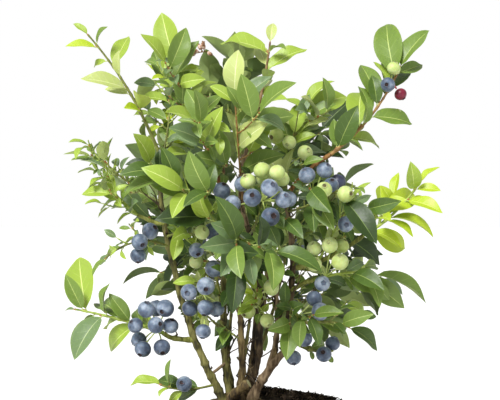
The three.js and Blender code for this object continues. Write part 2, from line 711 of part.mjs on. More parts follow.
// A point of the blade: share of the way along, side from -1 to 1, depth below the blade.
function bladePoint(leaf, share, side, depth) {
  const bend = radians(leaf.curl) * share;
  const full = radians(leaf.curl);
  const run = (leaf.length * Math.sin(bend)) / full;
  const drop = (leaf.length * (1 - Math.cos(bend))) / full;
  const point = leaf.root.clone();
  point.addScaledVector(leaf.along, LEAF.petiole + run).addScaledVector(leaf.up, -drop);
  const normal = leaf.up.clone().multiplyScalar(Math.cos(bend)).addScaledVector(leaf.along, Math.sin(bend));
  const half = 0.5 * leaf.width * leafOutline(share) * side;
  const fold = radians(LEAF.fold);
  return point
    .addScaledVector(leaf.across, half * Math.cos(fold))
    .addScaledVector(normal, Math.abs(half) * Math.sin(fold) - depth);
}

function leafGeometry(leaf) {
  const rings = [[leaf.root.clone().addScaledVector(leaf.along, -LEAF.sink)]];
  for (const share of leaf.length > LEAF.small ? LEAF.rings : LEAF.smallRings) {
    rings.push([
      bladePoint(leaf, share, -1, 0),
      bladePoint(leaf, share, 0, LEAF.thick),
      bladePoint(leaf, share, 1, 0),
    ]);
  }
  rings.push([bladePoint(leaf, LEAF.tip, 0, 0)]);
  return loft(rings);
}

function leafSamples(leaf) {
  const points = [];
  for (const share of LEAF.testShares) {
    for (const side of LEAF.testSides) points.push(bladePoint(leaf, share, side, LEAF.thick / 2));
  }
  return points;
}

function makeLeaf(root, along, twigAlong, length, mass, random) {
  const wanted = vec(mass.face).normalize().addScaledVector(twigAlong, LEAF.twigPull);
  wanted.x += spread(random, LEAF.turn);
  wanted.y += spread(random, LEAF.turn);
  wanted.z += spread(random, LEAF.turn);
  const [up, side] = squareTo(along, wanted);
  const curl = LEAF.curl * (LEAF.curlLeast + random());
  const width = length * LEAF.aspect * (1 + spread(random, LEAF.widthSpread));
  return { root, along, up, across: side.negate(), length, width, curl };
}

// Berries sit in a domed sunflower pattern round the middle of the cluster, each pushed out until it is
// clear of those before it, and all hang on stalks from one point of the stem.
function bunchBerries(mass, world) {
  const random = makeRandom(BERRY.seedStep + world.masses.indexOf(mass));
  for (const [share, count, away] of mass.fruit) {
    const foot = onFacets(mass.curve, STEM.rings, Math.min(share, STALK.last));
    const out = vec(away);
    const middle = foot.clone().add(out);
    const [first, second] = squareTo(out.normalize(), UP);
    const phase = 360 * random();
    const open = count < BERRY.few ? BERRY.fewStart : BERRY.manyStart;
    for (let k = 0; k < count; k += 1) {
      const radius = BERRY.radius * (1 + spread(random, BERRY.spread));
      const angle = radians(phase + k * ROUND);
      const reach = count === 1 ? 0 : BERRY.radius * BERRY.packing * Math.sqrt(k + open);
      const place = (far) => middle.clone()
        .addScaledVector(first, far * Math.cos(angle))
        .addScaledVector(second, far * Math.sin(angle))
        .addScaledVector(out, (-far * far) / (BERRY.dome * BERRY.radius));
      const touches = (centre) => world.berries.some(
        (other) => other.centre.distanceTo(centre) < other.radius + radius + BERRY.apart,
      );
      let far = reach;
      while (touches(place(far))) far += BERRY.push;
      const berry = { mass, centre: place(far), radius, foot, out };
      if (hasRoom(berry, world)) world.berries.push(berry);
    }
  }
}

// A berry has room where it and its stalk stay off every limb and off the stems of the other masses.
function hasRoom({ mass, centre, radius, foot }, world) {
  return STALK.checks.every((share) => {
    const point = foot.clone().lerp(centre, share);
    const size = share === 1 ? radius : STALK.radius;
    const limbs = world.limbs.every(
      (limb) => distanceTo(point, limb.path, (share) => limbRadius(limb, share)) > size + SPACE.berry,
    );
    const stems = world.masses.every(
      (other) => other === mass || distanceTo(point, other.path, noRadius) > size + STEM.radius + SPACE.berry,
    );
    return limbs && stems && point.z - size > SOIL.top + SOIL.ridgeRise;
  });
}

// The seeded rule: a leaf at the end of a shoot, then nodes at even pitch round it, each with a leaf or,
// on the stem, a side twig. What has no room is turned round the shoot and made smaller, and tried again.
function growShoot(shoot, mass, random, world, grown) {
  const { curve, isStem } = shoot;
  const tip = onFacets(curve, shoot.rings, NODE.end);
  addLeaf(makeLeaf(tip, curve.getTangent(1), UP, shoot.end, mass, random), mass, world, grown);
  const length = curve.getPoint(0).distanceTo(curve.getPoint(1));
  const nodes = Math.max(1, Math.round((length * (1 - shoot.bare)) / mass.pitch));
  for (let k = 0; k < nodes; k += 1) {
    const share = shoot.bare + ((1 - shoot.bare) * (k + NODE.first)) / nodes;
    const root = onFacets(curve, shoot.rings, share);
    const along = curve.getTangent(share);
    const blade = THREE.MathUtils.lerp(shoot.leaf[0], shoot.leaf[1], share);
    const roll = shoot.side + k * mass.turn + spread(random, NODE.roll);
    const tilt = radians(LEAF.diverge + spread(random, LEAF.divergeSpread));
    const size = 1 + spread(random, LEAF.sizeSpread);
    const isTwig = isStem && k % 2 === 1 && k < 2 * mass.twigs;
    for (let go = 0; go < LEAF.tries; go += 1) {
      const heading = headingAt(along, tilt, radians(roll + go * LEAF.tryTurn), mass);
      const scale = size * (1 - go * LEAF.tryShrink);
      const fits = isTwig
        ? growTwig(root, heading, mass.twig * scale, blade, mass, random, world, grown)
        : addLeaf(makeLeaf(root, heading, along, blade * scale, mass, random), mass, world, grown);
      if (fits) break;
    }
  }
}

// The way a leaf or twig leaves its shoot: tilted off the shoot, rolled round it from the flank.
function headingAt(along, tilt, roll, mass) {
  const [face, flank] = squareTo(along, vec(mass.face));
  const outward = flank.multiplyScalar(Math.cos(roll)).addScaledVector(face, Math.sin(roll));
  return along.clone().multiplyScalar(Math.cos(tilt)).addScaledVector(outward, Math.sin(tilt));
}

function growTwig(root, heading, length, blade, mass, random, world, grown) {
  const tip = root.clone().addScaledVector(heading, length).addScaledVector(UP, TWIG.lift * length);
  const curve = bowedCurve(root, tip, [0, 0, -TWIG.sag * length]);
  const trace = tracePath(curve).slice(TWIG.clearFrom);
  if (!clearOfBerries(trace, world.berries) || !isFree(trace, mass, world)) return false;
  grown.twigs.push(curve);
  const { rings, bare } = TWIG;
  const side = 360 * random();
  const twig = { curve, isStem: false, rings, bare, side, leaf: [blade, blade], end: blade };
  growShoot(twig, mass, random, world, grown);
  return true;
}

function addLeaf(leaf, mass, world, grown) {
  const points = leafSamples(leaf);
  const touches = grown.taken.some((other) => points.some((point) => other.distanceTo(point) < SPACE.leaf));
  if (touches || !clearOfBerries(points, world.berries) || !isFree(points, mass, world)) return false;
  grown.taken.push(...points);
  grown.leaves.push(leaf);
  return true;
}

function growMass(mass, world) {
  const random = makeRandom(mass.seed);
  const berries = world.berries.filter((berry) => berry.mass === mass);
  const grown = { leaves: [], twigs: [], berries, taken: [] };
  growShoot({ ...mass, isStem: true, rings: STEM.rings }, mass, random, world, grown);
  return grown;
}

function berryGeometry({ centre, radius, out }) {
  const ball = new THREE.OctahedronGeometry(radius, 1);
  ball.scale(1, 1, BERRY.squash);
  ball.applyQuaternion(new THREE.Quaternion().setFromUnitVectors(UP, out));
  return ball.translate(centre.x, centre.y, centre.z);
}

// A three-sided shoot: a ring of three points square to the curve at each share of the way.
function shootGeometry(curve, shares, from, to) {
  let flank = squareTo(curve.getTangent(0), vec(FRONT))[1];
  return shares.map((share) => {
    const [first, second] = squareTo(curve.getTangent(share), flank);
    flank = first;
    const radius = from + (to - from) * share;
    return [90, 210, 330].map((angle) => curve.getPoint(share)
      .addScaledVector(first, radius * Math.cos(radians(angle)))
      .addScaledVector(second, radius * Math.sin(radians(angle))));
  });
}

function massSolid(mass, grown, limbs) {
  const parts = [loft(shootGeometry(mass.curve, STEM.rings, mass.thick, STEM.tip))];
  for (const curve of grown.twigs) {
    parts.push(loft([[curve.getPoint(0)], ...shootGeometry(curve, TWIG.rings, TWIG.radius, TWIG.tip)]));
  }
  for (const leaf of grown.leaves) parts.push(leafGeometry(leaf));
  for (const berry of grown.berries) {
    const stalk = new THREE.LineCurve3(berry.foot, berry.centre);
    const [ring] = shootGeometry(stalk, [STALK.ring], STALK.radius, STALK.radius);
    parts.push(berryGeometry(berry), loft([[berry.foot], ring, [berry.centre]]));
  }
  const fused = wasm.Manifold.union(parts.map(toSolid));
  const parent = limbs.get(mass.from);
  return mainBody(fused.subtract(limbSolid(parent, CLEAR)));
}

// ---------------------------------------------------------------- the whole bush

// Colour and roughness by the first word of a node's name.
const COLOURS = {
  pot: [0xb5683f, 0.85],
  soil: [0x2e2119, 0.95],
  foot: [0x6a5138, 0.9],
  cane: [0x6f5d3a, 0.85],
  cut: [0x7d7048, 0.85],
  bough: [0x8a8a48, 0.8],
  foliage: [0x6c9a46, 0.65],
};

const bush = new THREE.Group();

function addNode(name, solid) {
  const [color, roughness] = COLOURS[name.split('_')[0]];
  const material = new THREE.MeshStandardMaterial({ color, roughness, metalness: 0 });
  const mesh = new THREE.Mesh(toGeometry(solid), material);
  mesh.name = name;
  bush.add(mesh);
}

function buildBush() {
  addNode('pot', makePot());
  addNode('soil', makeSoil());
  addNode('foot', makeFoot(0));
  const limbs = plotLimbs();
  for (const limb of limbs.values()) {
    const parent = limb.from === 'foot' ? makeFoot(CLEAR) : limbSolid(limbs.get(limb.from), CLEAR);
    addNode(limb.name, mainBody(limbSolid(limb, 0).subtract(parent)));
    limb.path = tracePath(limb.curve);
  }
  const masses = MASSES.map((row) => {
    const parent = limbs.get(row.from);
    const curve = bowedCurve(parent.curve.getPoint(row.at), vec(row.tip), row.bow);
    const thick = row.at === 1 ? parent.thick[1] : STEM.radius;
    return { ...row, curve, thick, path: tracePath(curve) };
  });
  const world = { limbs: [...limbs.values()], masses, berries: [] };
  for (const mass of masses) bunchBerries(mass, world);
  for (const mass of masses) {
    addNode(mass.name, massSolid(mass, growMass(mass, world), limbs));
  }
}

buildBush();

export default bush;
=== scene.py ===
# %% [markdown]
# # A blueberry bush in a clay pot
# The plain model in the frame holds the bush in outline: the pot, the peat in it, the woody foot, canes and
# boughs, and a rough mass for each leafy shoot with its berries. This lesson dresses it. The pot, the peat
# and the wood are modelled anew over the plain solids, and each mass is grown again, by the rule that made
# it, down to petioles, buds and the star on each berry. Sizes are in millimetres until a mesh is made.

# %% Open the frame
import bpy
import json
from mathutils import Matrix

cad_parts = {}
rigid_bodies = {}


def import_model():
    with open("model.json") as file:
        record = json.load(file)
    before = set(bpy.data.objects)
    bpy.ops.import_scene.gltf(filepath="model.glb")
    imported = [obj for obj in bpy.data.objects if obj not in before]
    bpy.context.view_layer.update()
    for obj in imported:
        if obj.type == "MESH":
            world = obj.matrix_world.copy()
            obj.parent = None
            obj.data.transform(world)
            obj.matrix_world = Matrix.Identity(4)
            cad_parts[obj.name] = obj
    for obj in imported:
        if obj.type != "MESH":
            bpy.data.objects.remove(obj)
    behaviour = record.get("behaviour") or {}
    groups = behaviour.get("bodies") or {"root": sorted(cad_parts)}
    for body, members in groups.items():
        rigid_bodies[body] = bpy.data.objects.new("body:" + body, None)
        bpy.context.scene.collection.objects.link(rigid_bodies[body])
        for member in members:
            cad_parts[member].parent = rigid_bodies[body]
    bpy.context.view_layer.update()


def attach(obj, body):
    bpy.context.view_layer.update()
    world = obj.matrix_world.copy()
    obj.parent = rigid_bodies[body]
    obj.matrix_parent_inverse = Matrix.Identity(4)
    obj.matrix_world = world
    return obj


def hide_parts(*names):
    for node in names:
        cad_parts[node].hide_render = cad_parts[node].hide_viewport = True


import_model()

# %% Tools and the ruler
import json
import math
from types import SimpleNamespace as Facts

import bpy
import numpy as np

MM = 0.001
norm = np.linalg.norm


def only(piece):
    """Deselects everything, then selects one piece and makes it the active one."""
    bpy.ops.object.select_all(action="DESELECT")
    piece.select_set(True)
    bpy.context.view_layer.objects.active = piece


def fresh(add, **sizes):
    """Adds one of Blender's primitives with nothing else selected."""
    bpy.ops.object.select_all(action="DESELECT")
    add(**sizes)
    return bpy.context.object


def edit_all():
    """Opens edit mode with everything selected."""
    bpy.ops.object.mode_set(mode="EDIT")
    bpy.ops.mesh.select_all(action="SELECT")


def leave_edit(outwards=False):
    """Closes edit mode, after turning all faces outwards if asked to."""
    if outwards:
        bpy.ops.mesh.select_all(action="SELECT")
        bpy.ops.mesh.normals_make_consistent(inside=False)
    bpy.ops.object.mode_set(mode="OBJECT")


def select_where(piece, test):
    """In edit mode, selects the vertices whose place passes a test."""
    bpy.ops.mesh.select_all(action="DESELECT")
    leave_edit()
    for vertex in piece.data.vertices:
        vertex.select = bool(test(vertex.co))
    bpy.ops.object.mode_set(mode="EDIT")


def finish_piece(piece, slot, *stands_for):
    """The piece rides on the bush's one body and stands for the named plain solids. Its slot is not used."""
    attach(piece, "root")
    if stands_for:
        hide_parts(*stands_for)
    triangles = sum(len(face.vertices) - 2 for face in piece.data.polygons)
    print(f"{piece.name}: {triangles} triangles")

# %% [markdown]
# ## The rule of growth: lines and directions
# A cane, a shoot or a twig is never straight: it leaves its parent one way and bends towards the light.
# A bowed line with one control point is enough for that, and it is cheap to measure along. The next cell
# holds what everything is placed with: numbers that come out the same on every run, the bowed line, and
# directions square to a line.

# %% Numbers that repeat, and bowed lines
UP = np.array([0.0, 0.0, 1.0])
TINY = 1e-6
STREAM = Facts(seed_step=7919, multiplier=1664525, increment=1013904223, span=2**32)


def make_random(seed):
    """A seeded stream of numbers from 0 to 1, the same on every run."""
    state = seed * STREAM.seed_step

    def draw():
        nonlocal state
        state = (state * STREAM.multiplier + STREAM.increment) % STREAM.span
        return state / STREAM.span

    return draw


def round_half_up(value):
    """The nearest whole number."""
    return math.floor(value + 0.5)


def spread(random, amount):
    """A draw from minus amount to plus amount."""
    return (2 * random() - 1) * amount


def jolt(random, amount):
    """Three such draws, as a shift in space."""
    return np.array([spread(random, amount) for _ in range(3)])


def unit(vector):
    """The same direction with a length of one."""
    return vector / norm(vector)


class Bow:
    """A line from start to tip whose middle stands off the straight line by bow."""

    STEP = 1e-4

    def __init__(self, start, tip, bow):
        self.start = np.asarray(start, float)
        self.tip = np.asarray(tip, float)
        self.control = (self.start + self.tip) / 2 + 2 * np.asarray(bow, float)
        self.length = float(norm(self.tip - self.start))

    def at(self, share):
        """The point a share of the way along."""
        rest = 1 - share
        return rest * rest * self.start + 2 * rest * share * self.control + share * share * self.tip

    def through(self, shares):
        """The points at several shares."""
        return np.array([self.at(share) for share in shares])

    def along(self, share):
        """The direction there."""
        low = max(share - self.STEP, 0)
        high = min(share + self.STEP, 1)
        return unit(self.at(high) - self.at(low))


def square_to(along, wanted):
    """Two directions square to a line, the first as near as can be to a wanted one."""
    first = wanted - along * np.dot(wanted, along)
    if norm(first) < TINY:
        first = along[[2, 0, 1]]
    first = unit(first)
    return first, np.cross(along, first)


def level_way(angle, rise=0.0):
    """A direction at an angle round Z, rising by a share of its length."""
    return np.array([math.cos(angle), math.sin(angle), rise])


def any_way_round(axis, random):
    """A direction square to an axis, at a seeded angle round it."""
    first, second = square_to(axis, UP)
    angle = 2 * math.pi * random()
    return first * math.cos(angle) + second * math.sin(angle)


def turn_onto(axis, random):
    """The turn that lays Z along an axis, with a seeded roll about it."""
    across = any_way_round(axis, random)
    return np.array([across, np.cross(axis, across), axis])


# %% [markdown]
# ## Canes and boughs
# A blueberry renews itself with canes that rise from one woody foot, and each cane forks into thinner
# boughs. Each row names a limb, what it grows from and how far along, where it ends, how far it bows, and
# its two radii. The numbers are the plain model's, so that the new wood lies exactly over it. The pot, the
# soil and the foot are given too, because no leaf may grow through them.

# %% Sizes of the foot, and the plan of the limbs
POT = Facts(
    height=180, rim=120, base=85, wall=8, floor=10, band=28, band_step=5, band_draft=2, edge=2.5,
    holes=3, hole=7, hole_ring=45, hole_turn=0.25, sides=96, softened=0.8, smooth_below=35,
)
SOIL = Facts(
    top=190.7, rim_drop=3, flat=40, slope=100, ridge_rise=13, ridge_end_rise=2, ridge_start=(8, 54),
    ridge_end=(84, 46), ridge_width=23, rim_guard=8, inset=0.4,
)
FOOT = Facts(x=-12, y=5, bottom=191, radius=25, height=14, depth=0.86, lobes=5, lobe=0.1, turn=1)
CANE_START = 196
LIMB = Facts(collar=0.28, collar_reach=9, taper=1.15)
LIMB_ROWS = [
    ("cane_left", "foot", (-25, -4), (-87, 0, 433), (-14, -10, 0), (3.6, 1.8)),
    ("cane_mid_left", "foot", (-18, 6), (-16, 14, 376), (-8, 0, 0), (3.3, 2.0)),
    ("cane_mid", "foot", (-9, -8), (-12, -12, 352), (2, -2, 0), (3.4, 2.2)),
    ("cane_mid_right", "foot", (-3, 8), (-3, 4, 363), (13, 2, 0), (3.6, 2.6)),
    ("cane_low_right", "foot", (1, -5), (43, -14, 254), (-2, 0, 6), (4.4, 3.0)),
    ("cane_right_inner", "cane_low_right", 0.56, (16, 10, 328), (6, 0, 0), (2.7, 1.9)),
    ("cane_right_outer", "cane_low_right", 0.8, (33, 2, 397), (6, 0, 0), (2.9, 2.2)),
    ("cane_back_left", "foot", (-18, 18), (-22, 82, 340), (-6, -2, 8), (3.6, 2.2)),
    ("cane_back_right", "foot", (-6, 19), (20, 84, 330), (2, -3, 6), (3.6, 2.2)),
    ("cut_stub", "foot", (-18, -10), (-1, -28, 216), (-3, -2, 2), (4.2, 4.0)),
    ("bough_left_low", "cane_left", 0.25, (-81, -17, 262), (0, -1, -2), (2.5, 2.0)),
    ("bough_left_mid", "cane_left", 0.71, (-106, -12, 373), (0, 0, -1), (1.9, 1.5)),
    ("bough_top_left", "cane_mid_left", 1, (-49, -14, 453), (0, -8, 2), (2.2, 1.6)),
    ("bough_top", "cane_mid_right", 1, (0, -8, 447), (-6, -3, 0), (2.4, 1.7)),
    ("bough_right_upper", "cane_right_outer", 0.95, (76, -14, 430), (-2, -2, 4), (2.1, 1.8)),
    ("bough_right_mid", "cane_right_outer", 0.5, (106, -20, 354), (2, -2, -4), (2.3, 1.9)),
    ("bough_right_low", "cane_right_outer", 0.36, (60, -16, 312), (0, -2, 2), (2.2, 1.8)),
    ("bough_low_right", "cane_right_outer", 0.2, (57, -18, 270), (0, -2, 1), (2.0, 1.6)),
    ("bough_back_top", "cane_back_left", 0.9, (-8, 84, 425), (4, 6, 0), (2.0, 1.6)),
]


def limb_radius(thick, thin, length, on_foot, share):
    """Radius along a limb: a taper, with a flare where a cane leaves the foot."""
    flare = on_foot * LIMB.collar * thick * np.exp(-share * length / LIMB.collar_reach)
    return thick + (thin - thick) * share**LIMB.taper + flare


def plot_limbs():
    """Each limb with its bowed line, worked out from the one it grows from."""
    limbs = {}
    for name, parent, at, tip, bow, thick in LIMB_ROWS:
        on_foot = parent == "foot"
        start = (*at, CANE_START) if on_foot else limbs[parent].curve.at(at)
        curve = Bow(start, tip, bow)
        limbs[name] = Facts(name=name, curve=curve, thick=thick, on_foot=on_foot)
    return limbs


limbs = plot_limbs()
print(len(limbs), "limbs, in all", round(sum(limb.curve.length for limb in limbs.values())), "mm of wood")

# %% [markdown]
# ## Leafy shoots
# This year's shoots carry everything soft: leaves in turn round the stem, short side twigs, and clusters
# of berries on thin stalks. Each row names a shoot, the limb it grows from, where it ends, its seed, the
# bare share at its foot, the space between its nodes, the lengths of its first and last leaves, and how
# its leaves turn. Then come the side twigs, the side that faces the light, and the clusters: how far
# along, the ripeness of each berry from the top down, and where the cluster hangs.

# %% Sizes of stems, leaves and berries
STEM = Facts(radius=1.3, tip=0.8, rings=(0, 0.25, 0.5, 0.75, 1))
TWIG = Facts(radius=1.0, tip=0.7, rings=(0.12, 0.6, 1), lift=0.14, sag=0.06, bare=0.2, clear_from=2)
STALK = Facts(radius=0.8, last=0.96, checks=(0.5, 0.75, 1))
NODE = Facts(first=0.35, roll=25, end=0.985)
LEAF = Facts(
    aspect=0.49, width_spread=0.12, thick=0.9, petiole=3, skew=0.9, blunt=0.8, fold=22, curl=42,
    curl_least=0.5, diverge=52, diverge_spread=14, size_spread=0.16, turn=0.5, twig_pull=0.35,
    tries=10, try_turn=77, try_shrink=0.045,
)
BERRY = Facts(
    radius=8.2, spread=0.1, squash=0.92, packing=1.0, few=4, few_start=0.9, many_start=0.15,
    dome=2.6, apart=0.2, push=1.2, seed_step=500,
)
SPACE = Facts(limb=3.2, neighbour=1.1, berry=1.6, stalk=2.6, stalk_foot=8)

# %% The plan of the shoots
FLAT = 180
ROUND = 137.5
FRONT = (0, -1, 0.55)
BACK = (0, 1, 0.55)
LEFT = (-0.7, -0.5, 0.6)
RIGHT = (0.7, -0.5, 0.6)
MASS_ROWS = [
    ("left_top", "cane_left", 1, (-153, -10, 543), (5, -2, 3), 647, 0.26, 22, (46, 31), 18,
     FLAT, 345, 0, 0, FRONT, []),
    ("left_crown", "cane_left", 0.93, (-78, 26, 504), (4, 4, 0), 544, 0.1, 9, (26, 40), 28,
     ROUND, 355, 4, 36, FRONT, []),
    ("top_left", "bough_top_left", 1, (-72, -11, 519), (0, 0, -2), 388, 0.05, 11.5, (34, 38), 48,
     ROUND, 45, 2, 30, FRONT, []),
    ("mid_high", "bough_top_left", 0.3, (-33, -64, 461), (4, -6, -4), 880, 0.2, 11.5, (37, 39), 43,
     ROUND, 75, 3, 34, FRONT, []),
    ("top_mid", "bough_top", 0.3, (-14, -58, 483), (0, -8, -4), 361, 0.25, 14.5, (50, 50), 42,
     ROUND, 5, 2, 34, FRONT, []),
    ("top", "bough_top", 1, (19, -4, 536), (2, 0, 0), 483, 0.06, 17.5, (38, 44), 21,
     FLAT, 165, 0, 0, FRONT, [(0.12, "G", (19, -16, 10))]),
    ("top_right", "cane_right_outer", 1, (54, 6, 476), (-4, 6, 0), 55, 0.1, 10, (46, 49), 37,
     ROUND, 35, 3, 38, FRONT, [(0.25, "GG", (24, -18, 12)), (0.62, "GG", (-13, -16, -6))]),
    ("right_upper", "bough_right_upper", 1, (141, -18, 512), (4, 0, -6), 852, 0.04, 14, (39, 60), 48,
     FLAT, 90, 0, 0, FRONT, [(0.84, "GBR", (4, -12, -3))]),
    ("right_mid", "bough_right_mid", 1, (158, -22, 402), (2, 0, -4), 218, 0.06, 12, (50, 32), 25,
     FLAT, 300, 1, 24, FRONT, []),
    ("right", "bough_right_mid", 0.35, (96, -30, 384), (0, -8, 4), 150, 0.15, 12, (44, 37), 36,
     ROUND, 120, 2, 32, RIGHT, [(0.72, "BB", (8, -12, -2))]),
    ("right_low", "bough_right_low", 1, (116, -34, 318), (0, -4, 4), 278, 0.06, 13, (55, 47), 55,
     ROUND, 40, 2, 34, FRONT, [(0.2, "GGGGGG", (3, -24, 32)), (0.05, "B", (4, -22, -3))]),
    ("low_right", "bough_low_right", 1, (92, -22, 268), (0, -2, 4), 473, 0.06, 11, (36, 38), 37,
     ROUND, 40, 2, 28, FRONT, []),
    ("low_fruit", "cane_low_right", 1, (78, -24, 246), (0, 0, -4), 532, 0.2, 18, (21, 19), 16,
     ROUND, 120, 0, 0, FRONT, [
      (0.1, "B", (-6, -14, -12)), (0.3, "B", (-3, -10, 9)), (0.75, "BB", (0, -6, 6))]),
    ("centre", "cane_mid_right", 0.95, (12, -78, 388), (0, -6, -6), 690, 0.22, 10.5, (46, 40), 29,
     ROUND, 210, 4, 38, FRONT, [(0.96, "GGGGGBBBBBBBB", (10, -16, 27))]),
    ("centre_left", "cane_mid_left", 0.93, (-60, -76, 396), (2, -6, -4), 651, 0.2, 11, (46, 54), 45,
     ROUND, 60, 4, 40, FRONT, [(0.5, "BB", (4, -18, 23))]),
    ("centre_low", "cane_mid", 1, (-12, -97, 348), (0, -6, 10), 27, 0.12, 11.5, (43, 48), 38,
     ROUND, 240, 4, 38, FRONT, []),
    ("centre_right", "cane_right_outer", 0.86, (80, -66, 396), (0, -8, -2), 862, 0.15, 11, (36, 47), 34,
     ROUND, 0, 4, 38, FRONT, [(0.5, "BBB", (6, -20, 30)), (0.9, "DGG", (11, -10, 7))]),
    ("left_mid", "bough_left_mid", 1, (-146, -16, 419), (0, 0, -4), 4, 0.04, 10.5, (26, 27), 24,
     ROUND, 300, 4, 38, LEFT, []),
    ("left_upper", "cane_left", 0.8, (-142, -6, 427), (4, 4, -8), 242, 0.2, 11.5, (29, 26), 25,
     ROUND, 135, 4, 34, LEFT, []),
    ("left_inner", "cane_left", 0.66, (-48, -36, 352), (2, -4, 4), 449, 0.12, 10, (24, 33), 21,
     ROUND, 95, 3, 30, FRONT, [(0.95, "BGB", (8, -10, -3))]),
    ("left_drop", "cane_left", 0.62, (-132, -54, 334), (0, -4, 10), 42, 0.12, 12, (20, 23), 19,
     ROUND, 300, 1, 20, LEFT, [(0.5, "BBB", (7, -8, -6))]),
    ("left_low", "bough_left_low", 1, (-164, -14, 284), (0, -2, 2), 581, 0.05, 15.5, (40, 63), 10,
     FLAT, 0, 0, 0, FRONT, [(0.14, "BBBBB", (-1, -14, 19)), (0.08, "BBBB", (-14, -12, -14))]),
    ("inner_left", "cane_mid_left", 0.72, (-43, -24, 282), (-8, -6, 16), 767, 0.3, 14, (22, 21), 17,
     ROUND, 300, 1, 20, FRONT, [
      (0.5, "GB", (-2, -12, 12)), (0.66, "BB", (-3, -30, -9)), (0.82, "BBB", (-2, -12, -17)),
      (1, "B", (0, -18, -20))]),
    ("foot_left", "cane_left", 0.07, (-82, -26, 214), (-2, -4, -4), 673, 0.15, 17, (26, 30), 30,
     FLAT, 180, 0, 0, FRONT, [(0.42, "B", (-6, -10, 6))]),
    ("inner_low", "cane_mid_right", 0.45, (2, -34, 290), (2, -2, 6), 848, 0.2, 9, (22, 22), 25,
     ROUND, 300, 2, 22, FRONT, [
      (0.6, "G", (-9, -12, -4)), (0.7, "G", (10, -12, -14)), (0.95, "G", (17, -8, 16))]),
    ("low_mid", "cane_right_inner", 0.5, (44, -44, 276), (4, -6, 8), 171, 0.2, 9.5, (34, 31), 34,
     ROUND, 90, 2, 26, FRONT, [(0.9, "BB", (20, -10, 14))]),
    ("left_rear", "cane_back_left", 0.8, (-98, 53, 369), (0, 2, -4), 158, 0.2, 10, (39, 40), 47,
     ROUND, 0, 3, 34, LEFT, []),
    ("right_rear", "cane_back_right", 0.8, (97, 48, 355), (0, 2, -4), 6, 0.2, 11.5, (34, 42), 42,
     ROUND, 165, 3, 36, RIGHT, []),
    ("top_rear", "bough_back_top", 0.6, (72, 90, 459), (0, 2, -6), 365, 0.2, 11, (42, 54), 41,
     ROUND, 45, 3, 36, RIGHT, []),
    ("back_left", "cane_back_left", 1, (-88, 122, 408), (0, 2, -6), 873, 0.05, 14, (41, 55), 54,
     ROUND, 120, 3, 42, BACK, [(0.4, "BBGB", (-6, 22, -6))]),
    ("back_right", "cane_back_right", 1, (94, 118, 400), (0, 2, -6), 533, 0.05, 13.5, (49, 49), 41,
     ROUND, 75, 3, 42, BACK, [(0.45, "BGBB", (6, 22, -8))]),
    ("back_top", "bough_back_top", 1, (-15, 93, 517), (0, 4, 0), 27, 0.05, 13, (47, 50), 40,
     ROUND, 285, 3, 38, BACK, []),
    ("back_mid", "cane_back_right", 0.88, (6, 150, 376), (-4, 2, -4), 341, 0.15, 13.5, (46, 50), 43,
     ROUND, 105, 3, 38, BACK, [(0.7, "GBB", (0, 18, -10))]),
    ("back_low_left", "cane_back_left", 0.6, (-58, 123, 323), (0, 4, 4), 255, 0.15, 14, (42, 42), 34,
     ROUND, 240, 3, 36, BACK, []),
    ("back_low_right", "cane_back_right", 0.6, (88, 112, 290), (0, 4, 4), 319, 0.15, 14.5, (36, 39), 37,
     ROUND, 345, 3, 36, BACK, [(0.6, "BBB", (0, 12, -16))]),
]
MASS_WORDS = "name parent at tip bow seed bare pitch leaf end turn side twigs twig face fruit".split()


def plot_masses():
    """Each shoot as a named record with its bowed line."""
    masses = []
    for index, row in enumerate(MASS_ROWS):
        mass = Facts(**dict(zip(MASS_WORDS, row)), index=index)
        parent = limbs[mass.parent]
        mass.curve = Bow(parent.curve.at(mass.at), mass.tip, mass.bow)
        mass.thick = parent.thick[1] if mass.at == 1 else STEM.radius
        mass.face = np.array(mass.face, float)
        masses.append(mass)
    return masses


masses = plot_masses()
print(len(masses), "leafy shoots")

# %% [markdown]
# ## Room to grow
# A leaf that has no room turns away or stays small. The rule does the same: before a leaf, twig or berry
# is kept, its sample points are measured against every limb, other shoot and berry. Paths are cut into ten
# straight pieces, and numpy measures all points against all pieces at once, which takes a few seconds.

# %% Distances to limbs, shoots and berries
PIECES = 10


def trace(curve):
    """Eleven points along a bowed line."""
    return curve.through(k / PIECES for k in range(PIECES + 1))


def cut_pieces(curves):
    """The straight pieces of several traced lines: where each starts, and its shift to the next."""
    paths = np.array([trace(curve) for curve in curves])
    return paths[:, :-1], np.diff(paths, axis=1)


def gaps_to(points, starts, shifts):
    """How far each point is from each piece, and the share of the piece that is nearest."""
    offsets = points[:, None, None] - starts
    share = np.clip((offsets * shifts).sum(-1) / (shifts**2).sum(-1), 0, 1)
    return norm(offsets - share[..., None] * shifts, axis=-1), share


LIMB_PIECES = cut_pieces([limb.curve for limb in limbs.values()])
LIMB_FACTS = [np.array([facts], float).T for facts in zip(*[
    (*limb.thick, limb.curve.length, limb.on_foot) for limb in limbs.values()
])]
STEM_PIECES = cut_pieces([mass.curve for mass in masses])


def limb_gaps(points):
    """How far each point is from the bark of the nearest limb."""
    away, share = gaps_to(points, *LIMB_PIECES)
    way = (np.arange(PIECES) + share) / PIECES
    return (away - limb_radius(*LIMB_FACTS, way)).min(axis=(1, 2))


def stem_gaps(points):
    """How far each point is from each shoot's middle line."""
    return gaps_to(points, *STEM_PIECES)[0].min(axis=2)


